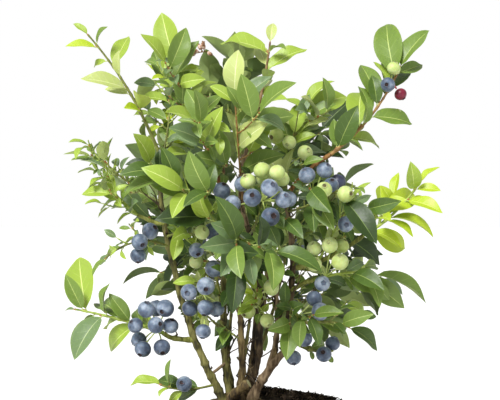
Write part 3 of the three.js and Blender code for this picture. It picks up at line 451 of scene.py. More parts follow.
def is_free(points, mass):
    """True where all points stay off the wood and the soil, and nearer this shoot than any other."""
    if (limb_gaps(points) < SPACE.limb).any():
        return False
    from_foot = np.hypot(points[:, 0] - FOOT.x, points[:, 1] - FOOT.y)
    foot_top = FOOT.bottom + FOOT.height + SPACE.limb
    near_foot = (from_foot < FOOT.radius + SPACE.limb) & (points[:, 2] < foot_top)
    from_axis = np.hypot(points[:, 0], points[:, 1])
    near_soil = (from_axis < POT.rim + SPACE.limb) & (points[:, 2] < SOIL.top + SPACE.limb)
    if (near_foot | near_soil).any():
        return False
    others = stem_gaps(points)
    own = others[:, mass.index].copy()
    others[:, mass.index] = np.inf
    return bool((others.min(axis=1) - own > 2 * SPACE.neighbour).all())


def on_facets(curve, rings, share):
    """A point on the straight facets between a shoot's rings, where leaves and stalks take root."""
    k = next(index for index, ring in enumerate(rings) if ring >= share)
    low = rings[k - 1] if k > 0 else 0
    part = (share - low) / (rings[k] - low)
    return curve.at(low) + (curve.at(rings[k]) - curve.at(low)) * part


# %% [markdown]
# ## Where the berries hang
# Blueberries ripen in tight clusters at the end of last year's shoots. Each cluster is a domed sunflower
# pattern: the berries turn by the golden angle, and one that would touch its neighbour is pushed outwards.
# The berries are placed before any leaf, because the leaves give way to them.

# %% Bunch the berries
def has_room(mass, centre, radius, foot):
    """True where a berry and its stalk stay off the wood, the other shoots and the soil."""
    for share in STALK.checks:
        point = foot + (centre - foot) * share
        size = radius if share == 1 else STALK.radius
        if limb_gaps(point[None])[0] <= size + SPACE.berry:
            return False
        stems = stem_gaps(point[None])[0]
        stems[mass.index] = np.inf
        if stems.min() <= size + STEM.radius + SPACE.berry:
            return False
        if point[2] - size <= SOIL.top + SOIL.ridge_rise:
            return False
    return True


def on_dome(middle, way, out, far):
    """A point so far from a cluster's middle, on the cluster's dome."""
    return middle + way * far - out * far * far / (BERRY.dome * BERRY.radius)


def bunch_berries(mass, berries):
    """Adds the berries of one shoot to the list of all berries."""
    random = make_random(BERRY.seed_step + mass.index)
    for share, kinds, away in mass.fruit:
        foot = on_facets(mass.curve, STEM.rings, min(share, STALK.last))
        middle = foot + np.array(away, float)
        out = unit(np.array(away, float))
        first, second = square_to(out, UP)
        phase = 360 * random()
        count = len(kinds)
        start = BERRY.few_start if count < BERRY.few else BERRY.many_start
        cluster = []
        for k in range(count):
            radius = BERRY.radius * (1 + spread(random, BERRY.spread))
            angle = math.radians(phase + k * ROUND)
            way = first * math.cos(angle) + second * math.sin(angle)
            far = 0 if count == 1 else BERRY.radius * BERRY.packing * math.sqrt(k + start)
            centre = on_dome(middle, way, out, far)
            while any(norm(o.centre - centre) < o.radius + radius + BERRY.apart for o in berries):
                far += BERRY.push
                centre = on_dome(middle, way, out, far)
            if has_room(mass, centre, radius, foot):
                berry = Facts(mass=mass, centre=centre, radius=radius, foot=foot, out=out)
                berries.append(berry)
                cluster.append(berry)
        for berry, kind in zip(sorted(cluster, key=lambda berry: -berry.centre[2]), kinds):
            berry.kind = kind


berries = []
for mass in masses:
    bunch_berries(mass, berries)
print(len(berries), "berries, of which", sum(berry.kind == "G" for berry in berries), "are green")

BERRY_CENTRES = np.array([berry.centre for berry in berries])
BERRY_RADII = np.array([berry.radius for berry in berries])
BERRY_FEET = np.array([berry.foot for berry in berries])
STALK_PIECES = (BERRY_FEET[:, None], (BERRY_CENTRES - BERRY_FEET)[:, None])


def clear_of_berries(points):
    """True where all points keep clear of every berry and, beyond its foot, of every stalk."""
    to_centre = norm(points[:, None] - BERRY_CENTRES, axis=-1)
    if (to_centre <= BERRY_RADII + SPACE.berry).any():
        return False
    to_foot = norm(points[:, None] - BERRY_FEET, axis=-1)
    to_stalk = gaps_to(points, *STALK_PIECES)[0][..., 0]
    return bool(((to_foot < SPACE.stalk_foot) | (to_stalk > SPACE.stalk)).all())


# %% [markdown]
# ## Growing the leaves
# A blade arches over as it leaves its petiole, and folds a little along its midrib. The rule sets a leaf
# at the end of each shoot, then walks the nodes from the foot upwards: each takes a leaf or a side twig
# with leaves of its own. What finds no room is turned round the shoot and made smaller, up to ten times.
# The coarse grade repeats the plain model leaf for leaf. The fine grade then fills in between.

# %% The blade of one leaf
def leaf_outline(share):
    """Half width of a blade, from 0 at its ends to 1, a share of the way along."""
    return np.sin(np.pi * np.clip(share, 0, 1) ** LEAF.skew).clip(0) ** LEAF.blunt


def blade_points(leaf, share, side, depth):
    """Points of a blade: shares of the way along, sides from -1 to 1, and depths below it."""
    full = math.radians(leaf.curl)
    bend = full * share
    run = leaf.length * np.sin(bend) / full
    drop = leaf.length * (1 - np.cos(bend)) / full
    normal = np.cos(bend)[:, None] * leaf.up + np.sin(bend)[:, None] * leaf.along
    half = 0.5 * leaf.width * leaf_outline(share) * side
    lift = np.abs(half) * math.sin(math.radians(LEAF.fold)) - depth
    spine = leaf.root + (LEAF.petiole + run)[:, None] * leaf.along - drop[:, None] * leaf.up
    return spine + (half * math.cos(math.radians(LEAF.fold)))[:, None] * leaf.across + lift[:, None] * normal


TEST_SHARE, TEST_SIDE = [grid.ravel() for grid in np.meshgrid(
    [0.2, 0.38, 0.56, 0.74, 0.95], [-1, -0.5, 0, 0.5, 1], indexing="ij",
)]


def make_leaf(root, along, twig_along, length, mass, random):
    """A leaf that looks to the light, within a seeded turn."""
    wanted = unit(mass.face) + twig_along * LEAF.twig_pull + jolt(random, LEAF.turn)
    up, side = square_to(along, wanted)
    curl = LEAF.curl * (LEAF.curl_least + random())
    width = length * LEAF.aspect * (1 + spread(random, LEAF.width_spread))
    return Facts(root=root, along=along, up=up, across=-side, length=length, width=width, curl=curl)


# %% The rule
COARSE = Facts(gap=4.2, pitch=1, twig=1)


def heading_at(along, tilt, roll, mass):
    """The way a leaf or twig leaves its shoot: tilted off the shoot, rolled round it from the flank."""
    face, flank = square_to(along, mass.face)
    outward = flank * math.cos(roll) + face * math.sin(roll)
    return along * math.cos(tilt) + outward * math.sin(tilt)


def add_leaf(leaf, shoot, mass, grown, grade):
    """Keeps a leaf that finds room, and remembers the space that it takes."""
    points = blade_points(leaf, TEST_SHARE, TEST_SIDE, LEAF.thick / 2)
    if grown.taken:
        near = norm(np.concatenate(grown.taken)[:, None] - points, axis=-1)
        if (near < grade.gap).any():
            return False
    if not clear_of_berries(points) or not is_free(points, mass):
        return False
    grown.taken.append(points)
    leaf.shoot = shoot
    leaf.grade = grade
    grown.leaves.append(leaf)
    return True


def grow_twig(root, heading, length, blade, mass, random, grown, grade):
    """Grows a side twig with leaves of its own where it finds room."""
    tip = root + heading * length + UP * TWIG.lift * length
    curve = Bow(root, tip, (0, 0, -TWIG.sag * length))
    path = trace(curve)[TWIG.clear_from:]
    if not clear_of_berries(path) or not is_free(path, mass):
        return False
    side = 360 * random()
    twig = Facts(
        curve=curve, rings=TWIG.rings, bare=TWIG.bare, side=side, leaf=(blade, blade), end=blade,
        twigs=0, grade=grade,
    )
    grown.twigs.append(twig)
    grow_shoot(twig, mass, random, grown, grade)
    return True


def grow_shoot(shoot, mass, random, grown, grade):
    """A leaf at the end of a shoot, then nodes at even pitch, each with a leaf or a side twig."""
    curve = shoot.curve
    if shoot.end:
        tip = on_facets(curve, shoot.rings, NODE.end)
        end = make_leaf(tip, curve.along(1), UP, shoot.end, mass, random)
        add_leaf(end, shoot, mass, grown, grade)
    nodes = max(1, round_half_up(curve.length * (1 - shoot.bare) / (mass.pitch * grade.pitch)))
    for k in range(nodes):
        share = shoot.bare + (1 - shoot.bare) * (k + NODE.first) / nodes
        root = on_facets(curve, shoot.rings, share)
        along = curve.along(share)
        blade = shoot.leaf[0] + (shoot.leaf[1] - shoot.leaf[0]) * share
        roll = shoot.side + k * mass.turn + spread(random, NODE.roll)
        tilt = math.radians(LEAF.diverge + spread(random, LEAF.diverge_spread))
        size = 1 + spread(random, LEAF.size_spread)
        is_twig = k % 2 == 1 and k < 2 * shoot.twigs
        for go in range(LEAF.tries):
            heading = heading_at(along, tilt, math.radians(roll + go * LEAF.try_turn), mass)
            scale = size * (1 - go * LEAF.try_shrink)
            if is_twig:
                twig = mass.twig * grade.twig * scale
                fits = grow_twig(root, heading, twig, blade, mass, random, grown, grade)
            else:
                leaf = make_leaf(root, heading, along, blade * scale, mass, random)
                fits = add_leaf(leaf, shoot, mass, grown, grade)
            if fits:
                break


def grow_coarse(mass):
    """The leaves and twigs of the plain model, grown again."""
    grown = Facts(mass=mass, leaves=[], twigs=[], taken=[])
    grown.stem = Facts(**vars(mass), rings=STEM.rings, grade=COARSE)
    grow_shoot(grown.stem, mass, make_random(mass.seed), grown, COARSE)
    return grown


growth = [grow_coarse(mass) for mass in masses]
print("coarse grade:", sum(len(grown.leaves) for grown in growth), "leaves")

# %% Fill in with the fine grade
FINE = Facts(
    gap=2.6, pitch=0.8, twig=0.6, blade=0.62, turn=70, more_twigs=1.5, seed_step=1481, sunny=28,
)


def finer(shoot, twigs=0):
    """The same shoot, ready to bear smaller leaves between those that it has."""
    leaf = [FINE.blade * length for length in shoot.leaf]
    words = {**vars(shoot), "leaf": leaf, "end": None, "side": shoot.side + FINE.turn, "twigs": twigs}
    return Facts(**words)


def grow_fine(grown):
    """Smaller leaves and shorter twigs between the first ones, on the stem and on every twig."""
    mass = grown.mass
    random = make_random(mass.seed + FINE.seed_step)
    first_twigs = list(grown.twigs)
    stem = finer(grown.stem, round_half_up(FINE.more_twigs * mass.twigs))
    grow_shoot(stem, mass, random, grown, FINE)
    for twig in first_twigs:
        grow_shoot(finer(twig), mass, random, grown, FINE)


def shades_fruit(leaf):
    """Whether a leaf hangs close before a berry, on its sunny side."""
    points = blade_points(leaf, TEST_SHARE, TEST_SIDE, 0)
    ahead = BERRY_CENTRES[:, None, 1] - points[:, 1]
    beside = norm(points[:, ::2] - BERRY_CENTRES[:, None, ::2], axis=-1)
    return ((ahead > 0) & (ahead < FINE.sunny) & (beside < BERRY_RADII[:, None])).any()


for grown in growth:
    grow_fine(grown)
    grown.leaves = [leaf for leaf in grown.leaves if leaf.grade is COARSE or not shades_fruit(leaf)]
print("both grades:", sum(len(grown.leaves) for grown in growth), "leaves")

# %% [markdown]
# Inside the bush short twigs break from the old wood wherever there is room. Their leaves close the crown
# behind the fruit, in dark tints that are painted shade. The twigs find their places first, then the same
# rule sets their leaves, each nearer its own twig than any other shoot.

# %% Leafy twigs on the old wood
INNER = Facts(
    from_share=0.38, apart=6.5, least=22, most=50, tries=8, room=4.6, lean=0.5, rise=0.2, clear_from=3,
    leaf=(25, 33), bare=0.3, pitch=7.5, reach=85, seed=900,
)
LEAFY_LIMBS = (
    "cane_mid", "cane_mid_right", "cane_right_inner", "cane_right_outer", "cane_mid_left", "cane_back_left",
    "cane_back_right", "bough_back_top",
)


def has_twig_room(path, others):
    """Whether a twig's path stays clear of fruit, wood, shoots and the twigs placed so far."""
    if not clear_of_berries(path) or limb_gaps(path).min() < SPACE.neighbour:
        return False
    if stem_gaps(path).min() < INNER.room:
        return False
    return all(norm(path[:, None] - other, axis=-1).min() > INNER.room for other in others)


def inner_twigs(limb, random, paths):
    """Curves of the twigs that find room along one cane."""
    curves = []
    roll = 0
    for place in np.arange(INNER.from_share * limb.curve.length, limb.curve.length, INNER.apart):
        share = place / limb.curve.length
        for _ in range(INNER.tries):
            roll += math.radians(ROUND)
            heading = heading_at(limb.curve.along(share), math.atan(1 / INNER.lean), roll, INNER_LIGHT)
            root = limb.curve.at(share)
            size = INNER.least + (INNER.most - INNER.least) * random()
            curve = Bow(root, root + (heading + UP * INNER.rise) * size, (0, 0, -TWIG.sag * size))
            path = trace(curve)[INNER.clear_from:]
            if has_twig_room(path, paths):
                curves.append(curve)
                paths.append(path)
                break
    return curves


def grow_inner(curve, number, taken):
    """The leaves of one inner twig, dark as painted shade, clear of every leaf that is there already."""
    face = FRONT if curve.at(1)[1] < curve.at(0)[1] else BACK
    mass = Facts(name="inner", face=face, index=len(masses) + number, pitch=INNER.pitch, turn=ROUND)
    twig = Facts(
        curve=curve, rings=TWIG.rings, bare=INNER.bare, side=0, leaf=INNER.leaf, end=INNER.leaf[1],
        twigs=0, grade=COARSE,
    )
    near = [points for points in taken if norm(points[0] - curve.at(0.5)) < INNER.reach]
    grown = Facts(mass=mass, leaves=[], twigs=[twig], taken=list(near))
    grow_shoot(twig, mass, make_random(INNER.seed + number), grown, FINE)
    taken += grown.taken[len(near):]
    grown.leaves = [leaf for leaf in grown.leaves if not shades_fruit(leaf)]
    return grown


INNER_LIGHT = Facts(face=FRONT)
random = make_random(INNER.seed)
paths = []
curves = [curve for name in LEAFY_LIMBS for curve in inner_twigs(limbs[name], random, paths)]
STEM_PIECES = cut_pieces([mass.curve for mass in masses] + curves)
taken = [points for grown in growth for points in grown.taken]
inner_growth = [grow_inner(curve, number, taken) for number, curve in enumerate(curves)]
all_growth = growth + [grown for grown in inner_growth if grown.leaves]
leaves = [leaf for grown in all_growth for leaf in grown.leaves]
twigs = [twig for grown in all_growth for twig in grown.twigs]
print("with the old wood's:", len(leaves), "leaves on", len(twigs), "twigs")

# %% [markdown]
# ## Finishes
# A finish starts from what the real surface is: fired clay, bark that cracks as the cane thickens, a
# leaf's waxed skin. Colours are hex, as on a screen, and one function turns them into the linear numbers
# that a shader takes. Another adds a node with its settings and links. Patterns read Object coordinates,
# so their scale is a real size in millimetres. One too fine to show is drawn as coarse as it needs to be.

# %% Colour and nodes
def linear(colour):
    """A hex colour as linear red, green, blue and an alpha of one."""
    parts = [int(colour[k:k + 2], 16) / 255 for k in (1, 3, 5)]
    return (*[part / 12.92 if part <= 0.04045 else ((part + 0.055) / 1.055) ** 2.4 for part in parts], 1.0)


def add_node(finish, kind, inputs=None, **settings):
    """Adds a node to a finish. An input is given a value, or another node's output to link."""
    made = finish.node_tree.nodes.new(kind)
    for name, value in settings.items():
        setattr(made, name, value)
    for name, value in (inputs or {}).items():
        if isinstance(value, bpy.types.NodeSocket):
            finish.node_tree.links.new(value, made.inputs[name])
        else:
            made.inputs[name].default_value = value
    return made


def new_finish(name, **sockets):
    """A finish with its shader, whose sockets are set by name, such as Roughness."""
    finish = bpy.data.materials.new(name)
    finish.use_nodes = True
    shader = finish.node_tree.nodes["Principled BSDF"]
    for socket, value in sockets.items():
        shader.inputs[socket.replace("_", " ")].default_value = value
    return finish, shader


def grain(finish, size, stretch=(1, 1, 1), detail=3):
    """Noise whose lumps are size millimetres across, drawn out along an axis by a stretch below one."""
    place = add_node(finish, "ShaderNodeTexCoord")
    turned = add_node(finish, "ShaderNodeMapping", {"Vector": place.outputs["Object"], "Scale": stretch})
    words = {"Vector": turned.outputs["Vector"], "Scale": 1 / (size * MM), "Detail": detail}
    return add_node(finish, "ShaderNodeTexNoise", words).outputs["Fac"]


def shade_by(finish, pattern, *stops):
    """A colour ramp over a pattern: each stop is a place from 0 to 1 and a hex colour."""
    ramp = add_node(finish, "ShaderNodeValToRGB", {"Fac": pattern})
    while len(ramp.color_ramp.elements) < len(stops):
        ramp.color_ramp.elements.new(0.5)
    for element, (place, colour) in zip(ramp.color_ramp.elements, stops):
        element.position = place
        element.color = linear(colour)
    return ramp.outputs["Color"]


def relief(finish, shader, pattern, height, strength=1.0):
    """Fine relief from a pattern, height millimetres from its lowest to its highest."""
    words = {"Height": pattern, "Distance": height * MM, "Strength": strength}
    bump = add_node(finish, "ShaderNodeBump", words)
    finish.node_tree.links.new(bump.outputs["Normal"], shader.inputs["Normal"])


def paint(finish, shader, colour):
    """Gives the shader its colour from a pattern."""
    finish.node_tree.links.new(colour, shader.inputs["Base Color"])


def mean_of(finish, one, other):
    """The mean of two patterns."""
    both = add_node(finish, "ShaderNodeMath", {0: one, 1: other}, operation="ADD")
    return add_node(finish, "ShaderNodeMath", {0: both.outputs[0], 1: 0.5}, operation="MULTIPLY").outputs[0]


def two_tone(name, tones, size, wrinkle, height, detail=3, **sockets):
    """A skin blotched with two tones, with fine wrinkles. Both patterns are sized in millimetres."""
    finish, shader = new_finish(name, **sockets)
    blotches = grain(finish, size, detail=detail)
    paint(finish, shader, shade_by(finish, blotches, (0.35, tones[0]), (0.65, tones[1])))
    relief(finish, shader, grain(finish, wrinkle, detail=detail), height)
    return finish


# %% [markdown]
# ## The pot
# A plain clay pot has a tapered wall, a thicker band round the rim for the hands, and holes in its floor
# for the water. It could be spun from a profile. Here it is raised from a disc instead, ring by ring, as
# the clay is on the wheel, which leaves clean rings of faces and closed seams.

# %% Raise the pot
def raise_wall(rings):
    """Extrudes what is selected through rings of (radius, height), from the radius it has."""
    for (radius, height), (next_radius, next_height) in zip(rings, rings[1:]):
        bpy.ops.mesh.extrude_region_move(
            TRANSFORM_OT_translate={"value": (0, 0, (next_height - height) * MM)}
        )
        if next_radius != radius:
            scale = next_radius / radius
            bpy.ops.transform.resize(value=(scale, scale, 1), center_override=(0, 0, 0))


def pot_inside(height):
    """Inner radius of the pot at a height."""
    low = POT.base - POT.wall
    return low + (height - POT.floor) / (POT.height - POT.floor) * (POT.rim - POT.wall - low)


def make_pot():
    """A tapered pot with a band round its rim, still without the holes in its floor."""
    band_foot = POT.height - POT.band
    band_out = POT.rim - POT.band_draft
    rings = [
        (POT.base - POT.edge, 0), (POT.base, POT.edge), (band_out - POT.band_step, band_foot - POT.edge),
        (band_out, band_foot), (POT.rim, POT.height - POT.edge), (POT.rim - POT.edge, POT.height),
        (pot_inside(POT.height), POT.height), (pot_inside(POT.floor), POT.floor),
    ]
    circle = bpy.ops.mesh.primitive_circle_add
    pot = fresh(circle, vertices=POT.sides, radius=rings[0][0] * MM, fill_type="NGON")
    pot.name = "clay_pot"
    edit_all()
    raise_wall(rings)
    leave_edit(outwards=True)
    return pot


def drill_holes(pot):
    """Cuts the drain holes with round cutters that are taken away again."""
    for k in range(POT.holes):
        place = level_way(2 * math.pi * (k + POT.hole_turn) / POT.holes) * POT.hole_ring * MM
        cylinder = bpy.ops.mesh.primitive_cylinder_add
        cutter = fresh(cylinder, vertices=32, radius=POT.hole * MM, depth=6 * POT.floor * MM, location=place)
        only(pot)
        cut = pot.modifiers.new("hole", "BOOLEAN")
        cut.operation = "DIFFERENCE"
        cut.object = cutter
        bpy.ops.object.modifier_apply(modifier=cut.name)
        bpy.data.objects.remove(cutter)


pot = make_pot()
drill_holes(pot)
soften = pot.modifiers.new("edges", "BEVEL")
soften.width = POT.softened * MM
soften.segments = 2
soften.limit_method = "ANGLE"
bpy.ops.object.modifier_apply(modifier=soften.name)
bpy.ops.object.shade_smooth_by_angle(angle=math.radians(POT.smooth_below))

# %% [markdown]
# Fired clay is dry and matt, with a fine sandy grain. Salts from the water bloom on it in pale patches,
# and faint rings from the wheel run round it, because the clay's grain is drawn out level.

# %% Terracotta, pressed and fired
def make_terracotta():
    """Unglazed fired clay with pale salts and faint wheel rings."""
    finish, shader = new_finish("fired terracotta", Roughness=0.86, IOR=1.5)
    patches = grain(finish, 60, detail=5)
    paint(finish, shader, shade_by(finish, patches, (0.3, "#A85A36"), (0.52, "#B96B42"), (0.68, "#C68C66")))
    rings = grain(finish, 60, stretch=(1, 1, 20), detail=2)
    relief(finish, shader, rings, 1.2, 0.6)
    return finish


pot.data.materials.append(make_terracotta())
finish_piece(pot, "terracotta", "pot")

# %% [markdown]
# ## The peat
# Blueberries want sour ground, so the pot is filled with peat and shredded bark, heaped at one side. It
# is a plug raised ring by ring like the pot, its top ringed in closely enough to take lumps. Crumbs, chips
# and threads then lie on it as small loose shapes, each kind joined into one mesh.

# %% The heap
def smooth_step(low, high, value):
    """0 below low, 1 above high, and an even slope between."""
    share = np.clip((value - low) / (high - low), 0, 1)
    return share * share * (3 - 2 * share)


def soil_level(x, y):
    """Height of the peat: flat under the foot, down to the rim, and a ridge that sinks to the right."""
    edge = POT.height - SOIL.rim_drop
    reach = np.hypot(x, y)
    slope = 1 - smooth_step(SOIL.flat, SOIL.slope, reach)
    start = np.array(SOIL.ridge_start)
    shift = np.array(SOIL.ridge_end) - start
    share = np.clip(((x - start[0]) * shift[0] + (y - start[1]) * shift[1]) / (shift @ shift), 0, 1)
    away = np.hypot(x - start[0] - share * shift[0], y - start[1] - share * shift[1])
    inside = 1 - smooth_step(SOIL.slope, SOIL.slope + SOIL.rim_guard, reach)
    ridge = inside * (1 - smooth_step(0, SOIL.ridge_width, away))
    rise = SOIL.ridge_rise + (SOIL.ridge_end_rise - SOIL.ridge_rise) * share
    return edge + (SOIL.top - edge) * np.maximum(slope, ridge) + rise * ridge


def vertices_of(piece):
    """A mesh's points in millimetres."""
    points = np.empty(3 * len(piece.data.vertices))
    piece.data.vertices.foreach_get("co", points)
    return points.reshape(-1, 3) / MM


def move_vertices(piece, points):
    """Puts a mesh's points back, from millimetres."""
    piece.data.vertices.foreach_set("co", (points * MM).ravel())
    piece.data.update()


def roughen(piece, name, size, height, group="", direction="NORMAL"):
    """Displaces a piece by clouds of lumps, size millimetres across and height millimetres tall."""
    clouds = bpy.data.textures.new(name, "CLOUDS")
    clouds.noise_scale = size * MM
    lumps = piece.modifiers.new(name, "DISPLACE")
    lumps.texture = clouds
    lumps.texture_coords = "LOCAL"
    lumps.strength = height * MM
    lumps.mid_level = 0.5
    lumps.direction = direction
    lumps.vertex_group = group
    only(piece)
    bpy.ops.object.modifier_apply(modifier=name)


HEAP = Facts(off_floor=0.3, sides=168, rings=40, lumps=(9, 5), clods=(2.6, 2.4))


def make_heap():
    """The peat as one closed plug that fills the pot, with lumps on its top."""
    edge = POT.height - SOIL.rim_drop
    bottom = POT.floor + HEAP.off_floor
    rim = pot_inside(edge) - SOIL.inset
    low = pot_inside(bottom) - SOIL.inset
    circle = bpy.ops.mesh.primitive_circle_add
    place = (0, 0, bottom * MM)
    heap = fresh(circle, vertices=HEAP.sides, radius=low * MM, fill_type="NGON", location=place)
    bpy.ops.object.transform_apply(location=True)
    edit_all()
    raise_wall([(low, bottom), (rim, edge)])
    for _ in range(HEAP.rings):
        bpy.ops.mesh.inset(thickness=rim / (HEAP.rings + 1) * MM)
    bpy.ops.mesh.poke()
    leave_edit(outwards=True)
    points = vertices_of(heap)
    inner = (points[:, 2] > edge - 1) & (np.hypot(points[:, 0], points[:, 1]) < rim - 1)
    points[inner, 2] = soil_level(points[inner, 0], points[inner, 1])
    move_vertices(heap, points)
    top = heap.vertex_groups.new(name="top")
    top.add([int(k) for k in np.flatnonzero(inner)], 1.0, "REPLACE")
    roughen(heap, "heaps", *HEAP.lumps, "top", "Z")
    roughen(heap, "clods", *HEAP.clods, "top", "Z")
    bpy.ops.object.shade_smooth()
    heap.name = "peat_heap"
    return heap


heap = make_heap()
print("the heap's top is at", round(vertices_of(heap)[:, 2].max(), 1), "mm")

# %% [markdown]
# Moist peat is almost black in its hollows and red-brown where its fibres dry. It has no gloss at all.

# %% Peat, milled and moist
def make_peat(name, dark, middle, light):
    """Milled peat: dull, lumpy, dark in the hollows."""
    finish, shader = new_finish(name, Roughness=1.0, Specular_IOR_Level=0.2)
    crumbs = grain(finish, 9, detail=6)
    paint(finish, shader, shade_by(finish, crumbs, (0.36, dark), (0.52, middle), (0.7, light)))
    relief(finish, shader, grain(finish, 1.6, detail=4), 1.0)
    return finish


PEAT = make_peat("milled peat", "#0E0B08", "#211B14", "#43392D")
CRUMB = make_peat("peat crumbs", "#16110C", "#2D241A", "#54473A")
CHIP = make_peat("shredded bark", "#332921", "#574A3D", "#857768")
heap.data.materials.append(PEAT)
finish_piece(heap, "peat", "soil")

# %% [markdown]
# Crumbs are all one lump with a few faces, copied about 1,500 times. Each copy has its own size and turn,
# so the eye never finds the pattern. One function joins the copies of any template into a single mesh, and
# it serves for the leaves, the buds and the berries too.

# %% Templates and joined copies
def take_template(piece):
    """Reads a modelled piece as points in millimetres, faces and finish numbers, and removes it."""
    points = vertices_of(piece)
    faces = [tuple(face.vertices) for face in piece.data.polygons]
    numbers = piece.data.attributes.get("finish")
    kinds = [face.value for face in numbers.data] if numbers else [0] * len(faces)
    bpy.data.objects.remove(piece)
    return Facts(points=points, faces=faces, kinds=kinds)


def joined_copies(name, template, places, finishes, smooth=True):
    """One mesh of many copies of a template. places is (copies, points, 3) in millimetres."""
    size = len(template.points)
    firsts = range(0, len(places) * size, size)
    faces = [tuple(corner + first for corner in face) for first in firsts for face in template.faces]
    mesh = bpy.data.meshes.new(name)
    mesh.from_pydata((places * MM).reshape(-1, 3), [], faces)
    for finish in finishes:
        mesh.materials.append(finish)
    mesh.polygons.foreach_set("material_index", template.kinds * len(places))
    mesh.polygons.foreach_set("use_smooth", [smooth] * len(faces))
    piece = bpy.data.objects.new(name, mesh)
    bpy.context.collection.objects.link(piece)
    return piece


def any_turn(random):
    """A turn of any kind."""
    return turn_onto(unit(jolt(random, 1) + UP * TINY), random)


def scatter(template, random, plans):
    """Copies of a template. Each plan is a count, where they lie, and their least, added size and power."""
    copies = []
    for count, place_of, least, more, power in plans:
        for _ in range(count):
            size = least + more * random() ** power
            copies.append((template.points * size) @ any_turn(random) + place_of(random))
    return np.array(copies)


# %% Crumbs and chips on the heap
LUMP = Facts(dent=0.22, waves=(5, 3, 7))
SHARD = Facts(size=(6, 2, 0.8), narrowed=0.4, bow=0.4, bend=1.1, split=0.8, split_from=2)


def make_lump():
    """A crumb: a ball of few faces, pushed out of round."""
    lump = fresh(bpy.ops.mesh.primitive_ico_sphere_add, subdivisions=1, radius=MM)
    points = vertices_of(lump)
    dents = np.sin(points @ LUMP.waves)[:, None]
    move_vertices(lump, points * (1 + LUMP.dent * dents))
    return take_template(lump)


def make_chip():
    """A chip of bark: a thin board with a split end."""
    chip = fresh(bpy.ops.mesh.primitive_cube_add, size=MM)
    edit_all()
    bpy.ops.transform.resize(value=SHARD.size)
    bpy.ops.mesh.subdivide(number_cuts=1)
    leave_edit()
    points = vertices_of(chip)
    points[:, 1] *= 1 - SHARD.narrowed * (points[:, 0] / (SHARD.size[0] / 2)) ** 2
    points[:, 2] += SHARD.bow * np.sin(SHARD.bend * points[:, 0])
    points[:, 0] += SHARD.split * points[:, 1] * (points[:, 0] > SHARD.split_from)
    move_vertices(chip, points)
    return take_template(chip)


LITTER = Facts(off_wall=6, heap_lift=0.4, ridge_lift=0.6, ridge_x=14, ridge_y=12, seed=11)


def on_heap(random):
    """A seeded spot on the heap, even over its area."""
    reach = (pot_inside(POT.height) - LITTER.off_wall) * math.sqrt(random())
    spot = reach * level_way(2 * math.pi * random())
    return spot + UP * (soil_level(*spot[:2]) + LITTER.heap_lift)


def on_ridge(random):
    """A seeded spot near the crest of the ridge."""
    start = np.array(SOIL.ridge_start)
    x, y = start + (np.array(SOIL.ridge_end) - start) * random()
    x += spread(random, LITTER.ridge_x)
    y += spread(random, LITTER.ridge_y)
    return np.array([x, y, soil_level(x, y) + LITTER.ridge_lift])


random = make_random(LITTER.seed)
for name, template, finish, plans in (
    ("peat_crumbs", make_lump(), CRUMB, [(1100, on_heap, 0.5, 1.9, 3), (420, on_ridge, 0.5, 1.7, 2)]),
    ("bark_chips", make_chip(), CHIP, [(130, on_heap, 0.5, 0.9, 1), (60, on_ridge, 0.4, 0.7, 1)]),
):
    copies = scatter(template, random, plans)
    finish_piece(joined_copies(name, template, copies, [finish], smooth=False), "peat")

# %% [markdown]
# ## Wood from rods
# A cane is a rod that bends, tapers and swells at every node. Blender's curves make such rods at once: a
# line of points, a radius for each, and a round bevel. The curve then becomes a mesh, so that the bark's
# relief can be worked into it. Finer rods serve for stems, petioles, stalks and threads.

# %% Round rods
SMOOTH = math.radians(50)
SWELL = Facts(least=0.6, more=0.8, least_gap=0.7, more_gap=0.6)


def rods_of(name, runs, sides, finish):
    """One mesh of closed round rods with one finish. Each run starts with points and radii in millimetres."""
    line = bpy.data.curves.new(name, "CURVE")
    line.dimensions = "3D"
    line.fill_mode = "FULL"
    line.bevel_depth = MM
    line.bevel_resolution = sides // 2 - 2
    line.use_fill_caps = True
    for points, radii, _ in runs:
        spline = line.splines.new("POLY")
        spline.points.add(len(points) - 1)
        spline.points.foreach_set("co", np.column_stack([points * MM, np.ones(len(points))]).ravel())
        spline.points.foreach_set("radius", np.asarray(radii, float))
    line.materials.append(finish)
    rods = bpy.data.objects.new(name, line)
    bpy.context.collection.objects.link(rods)
    only(rods)
    bpy.ops.object.convert(target="MESH")
    return bpy.context.object


def round_rods(name, runs, sides, finishes):
    """One mesh of rods in several finishes. The third thing in each run is its finish's number."""
    kinds = [[run for run in runs if run[2] == number] for number in range(len(finishes))]
    parts = [rods_of(name, kind, sides, finish) for kind, finish in zip(kinds, finishes) if kind]
    only(parts[0])
    for part in parts[1:]:
        part.select_set(True)
    if len(parts) > 1:
        bpy.ops.object.join()
    bpy.ops.object.shade_smooth_by_angle(angle=SMOOTH)
    return bpy.context.object


def wander(shares, random, waves, size):
    """A seeded sideways drift in three directions, nil at both ends, size millimetres at most."""
    drift = np.zeros((len(shares), 3))
    for wave in range(1, waves + 1):
        drift += np.sin(math.pi * wave * shares)[:, None] * jolt(random, 1) / wave
    return drift * size


def swellings(shares, length, random, apart, height, reach):
    """How far a rod swells at its nodes, which are about apart millimetres from one another."""
    swell = np.zeros(len(shares))
    place = apart * random()
    while place < length:
        size = height * (SWELL.least + SWELL.more * random())
        swell += size * np.exp(-(((shares * length - place) / reach) ** 2))
        place += apart * (SWELL.least_gap + SWELL.more_gap * random())
    return swell


# %% [markdown]
# Young blueberry wood is olive and smooth. As a cane thickens its skin cracks lengthwise, turns grey-brown
# and peels in thin strips, so the pattern is drawn out along the limb. All the limbs stand nearly upright,
# so along the limb is close enough to along Z.

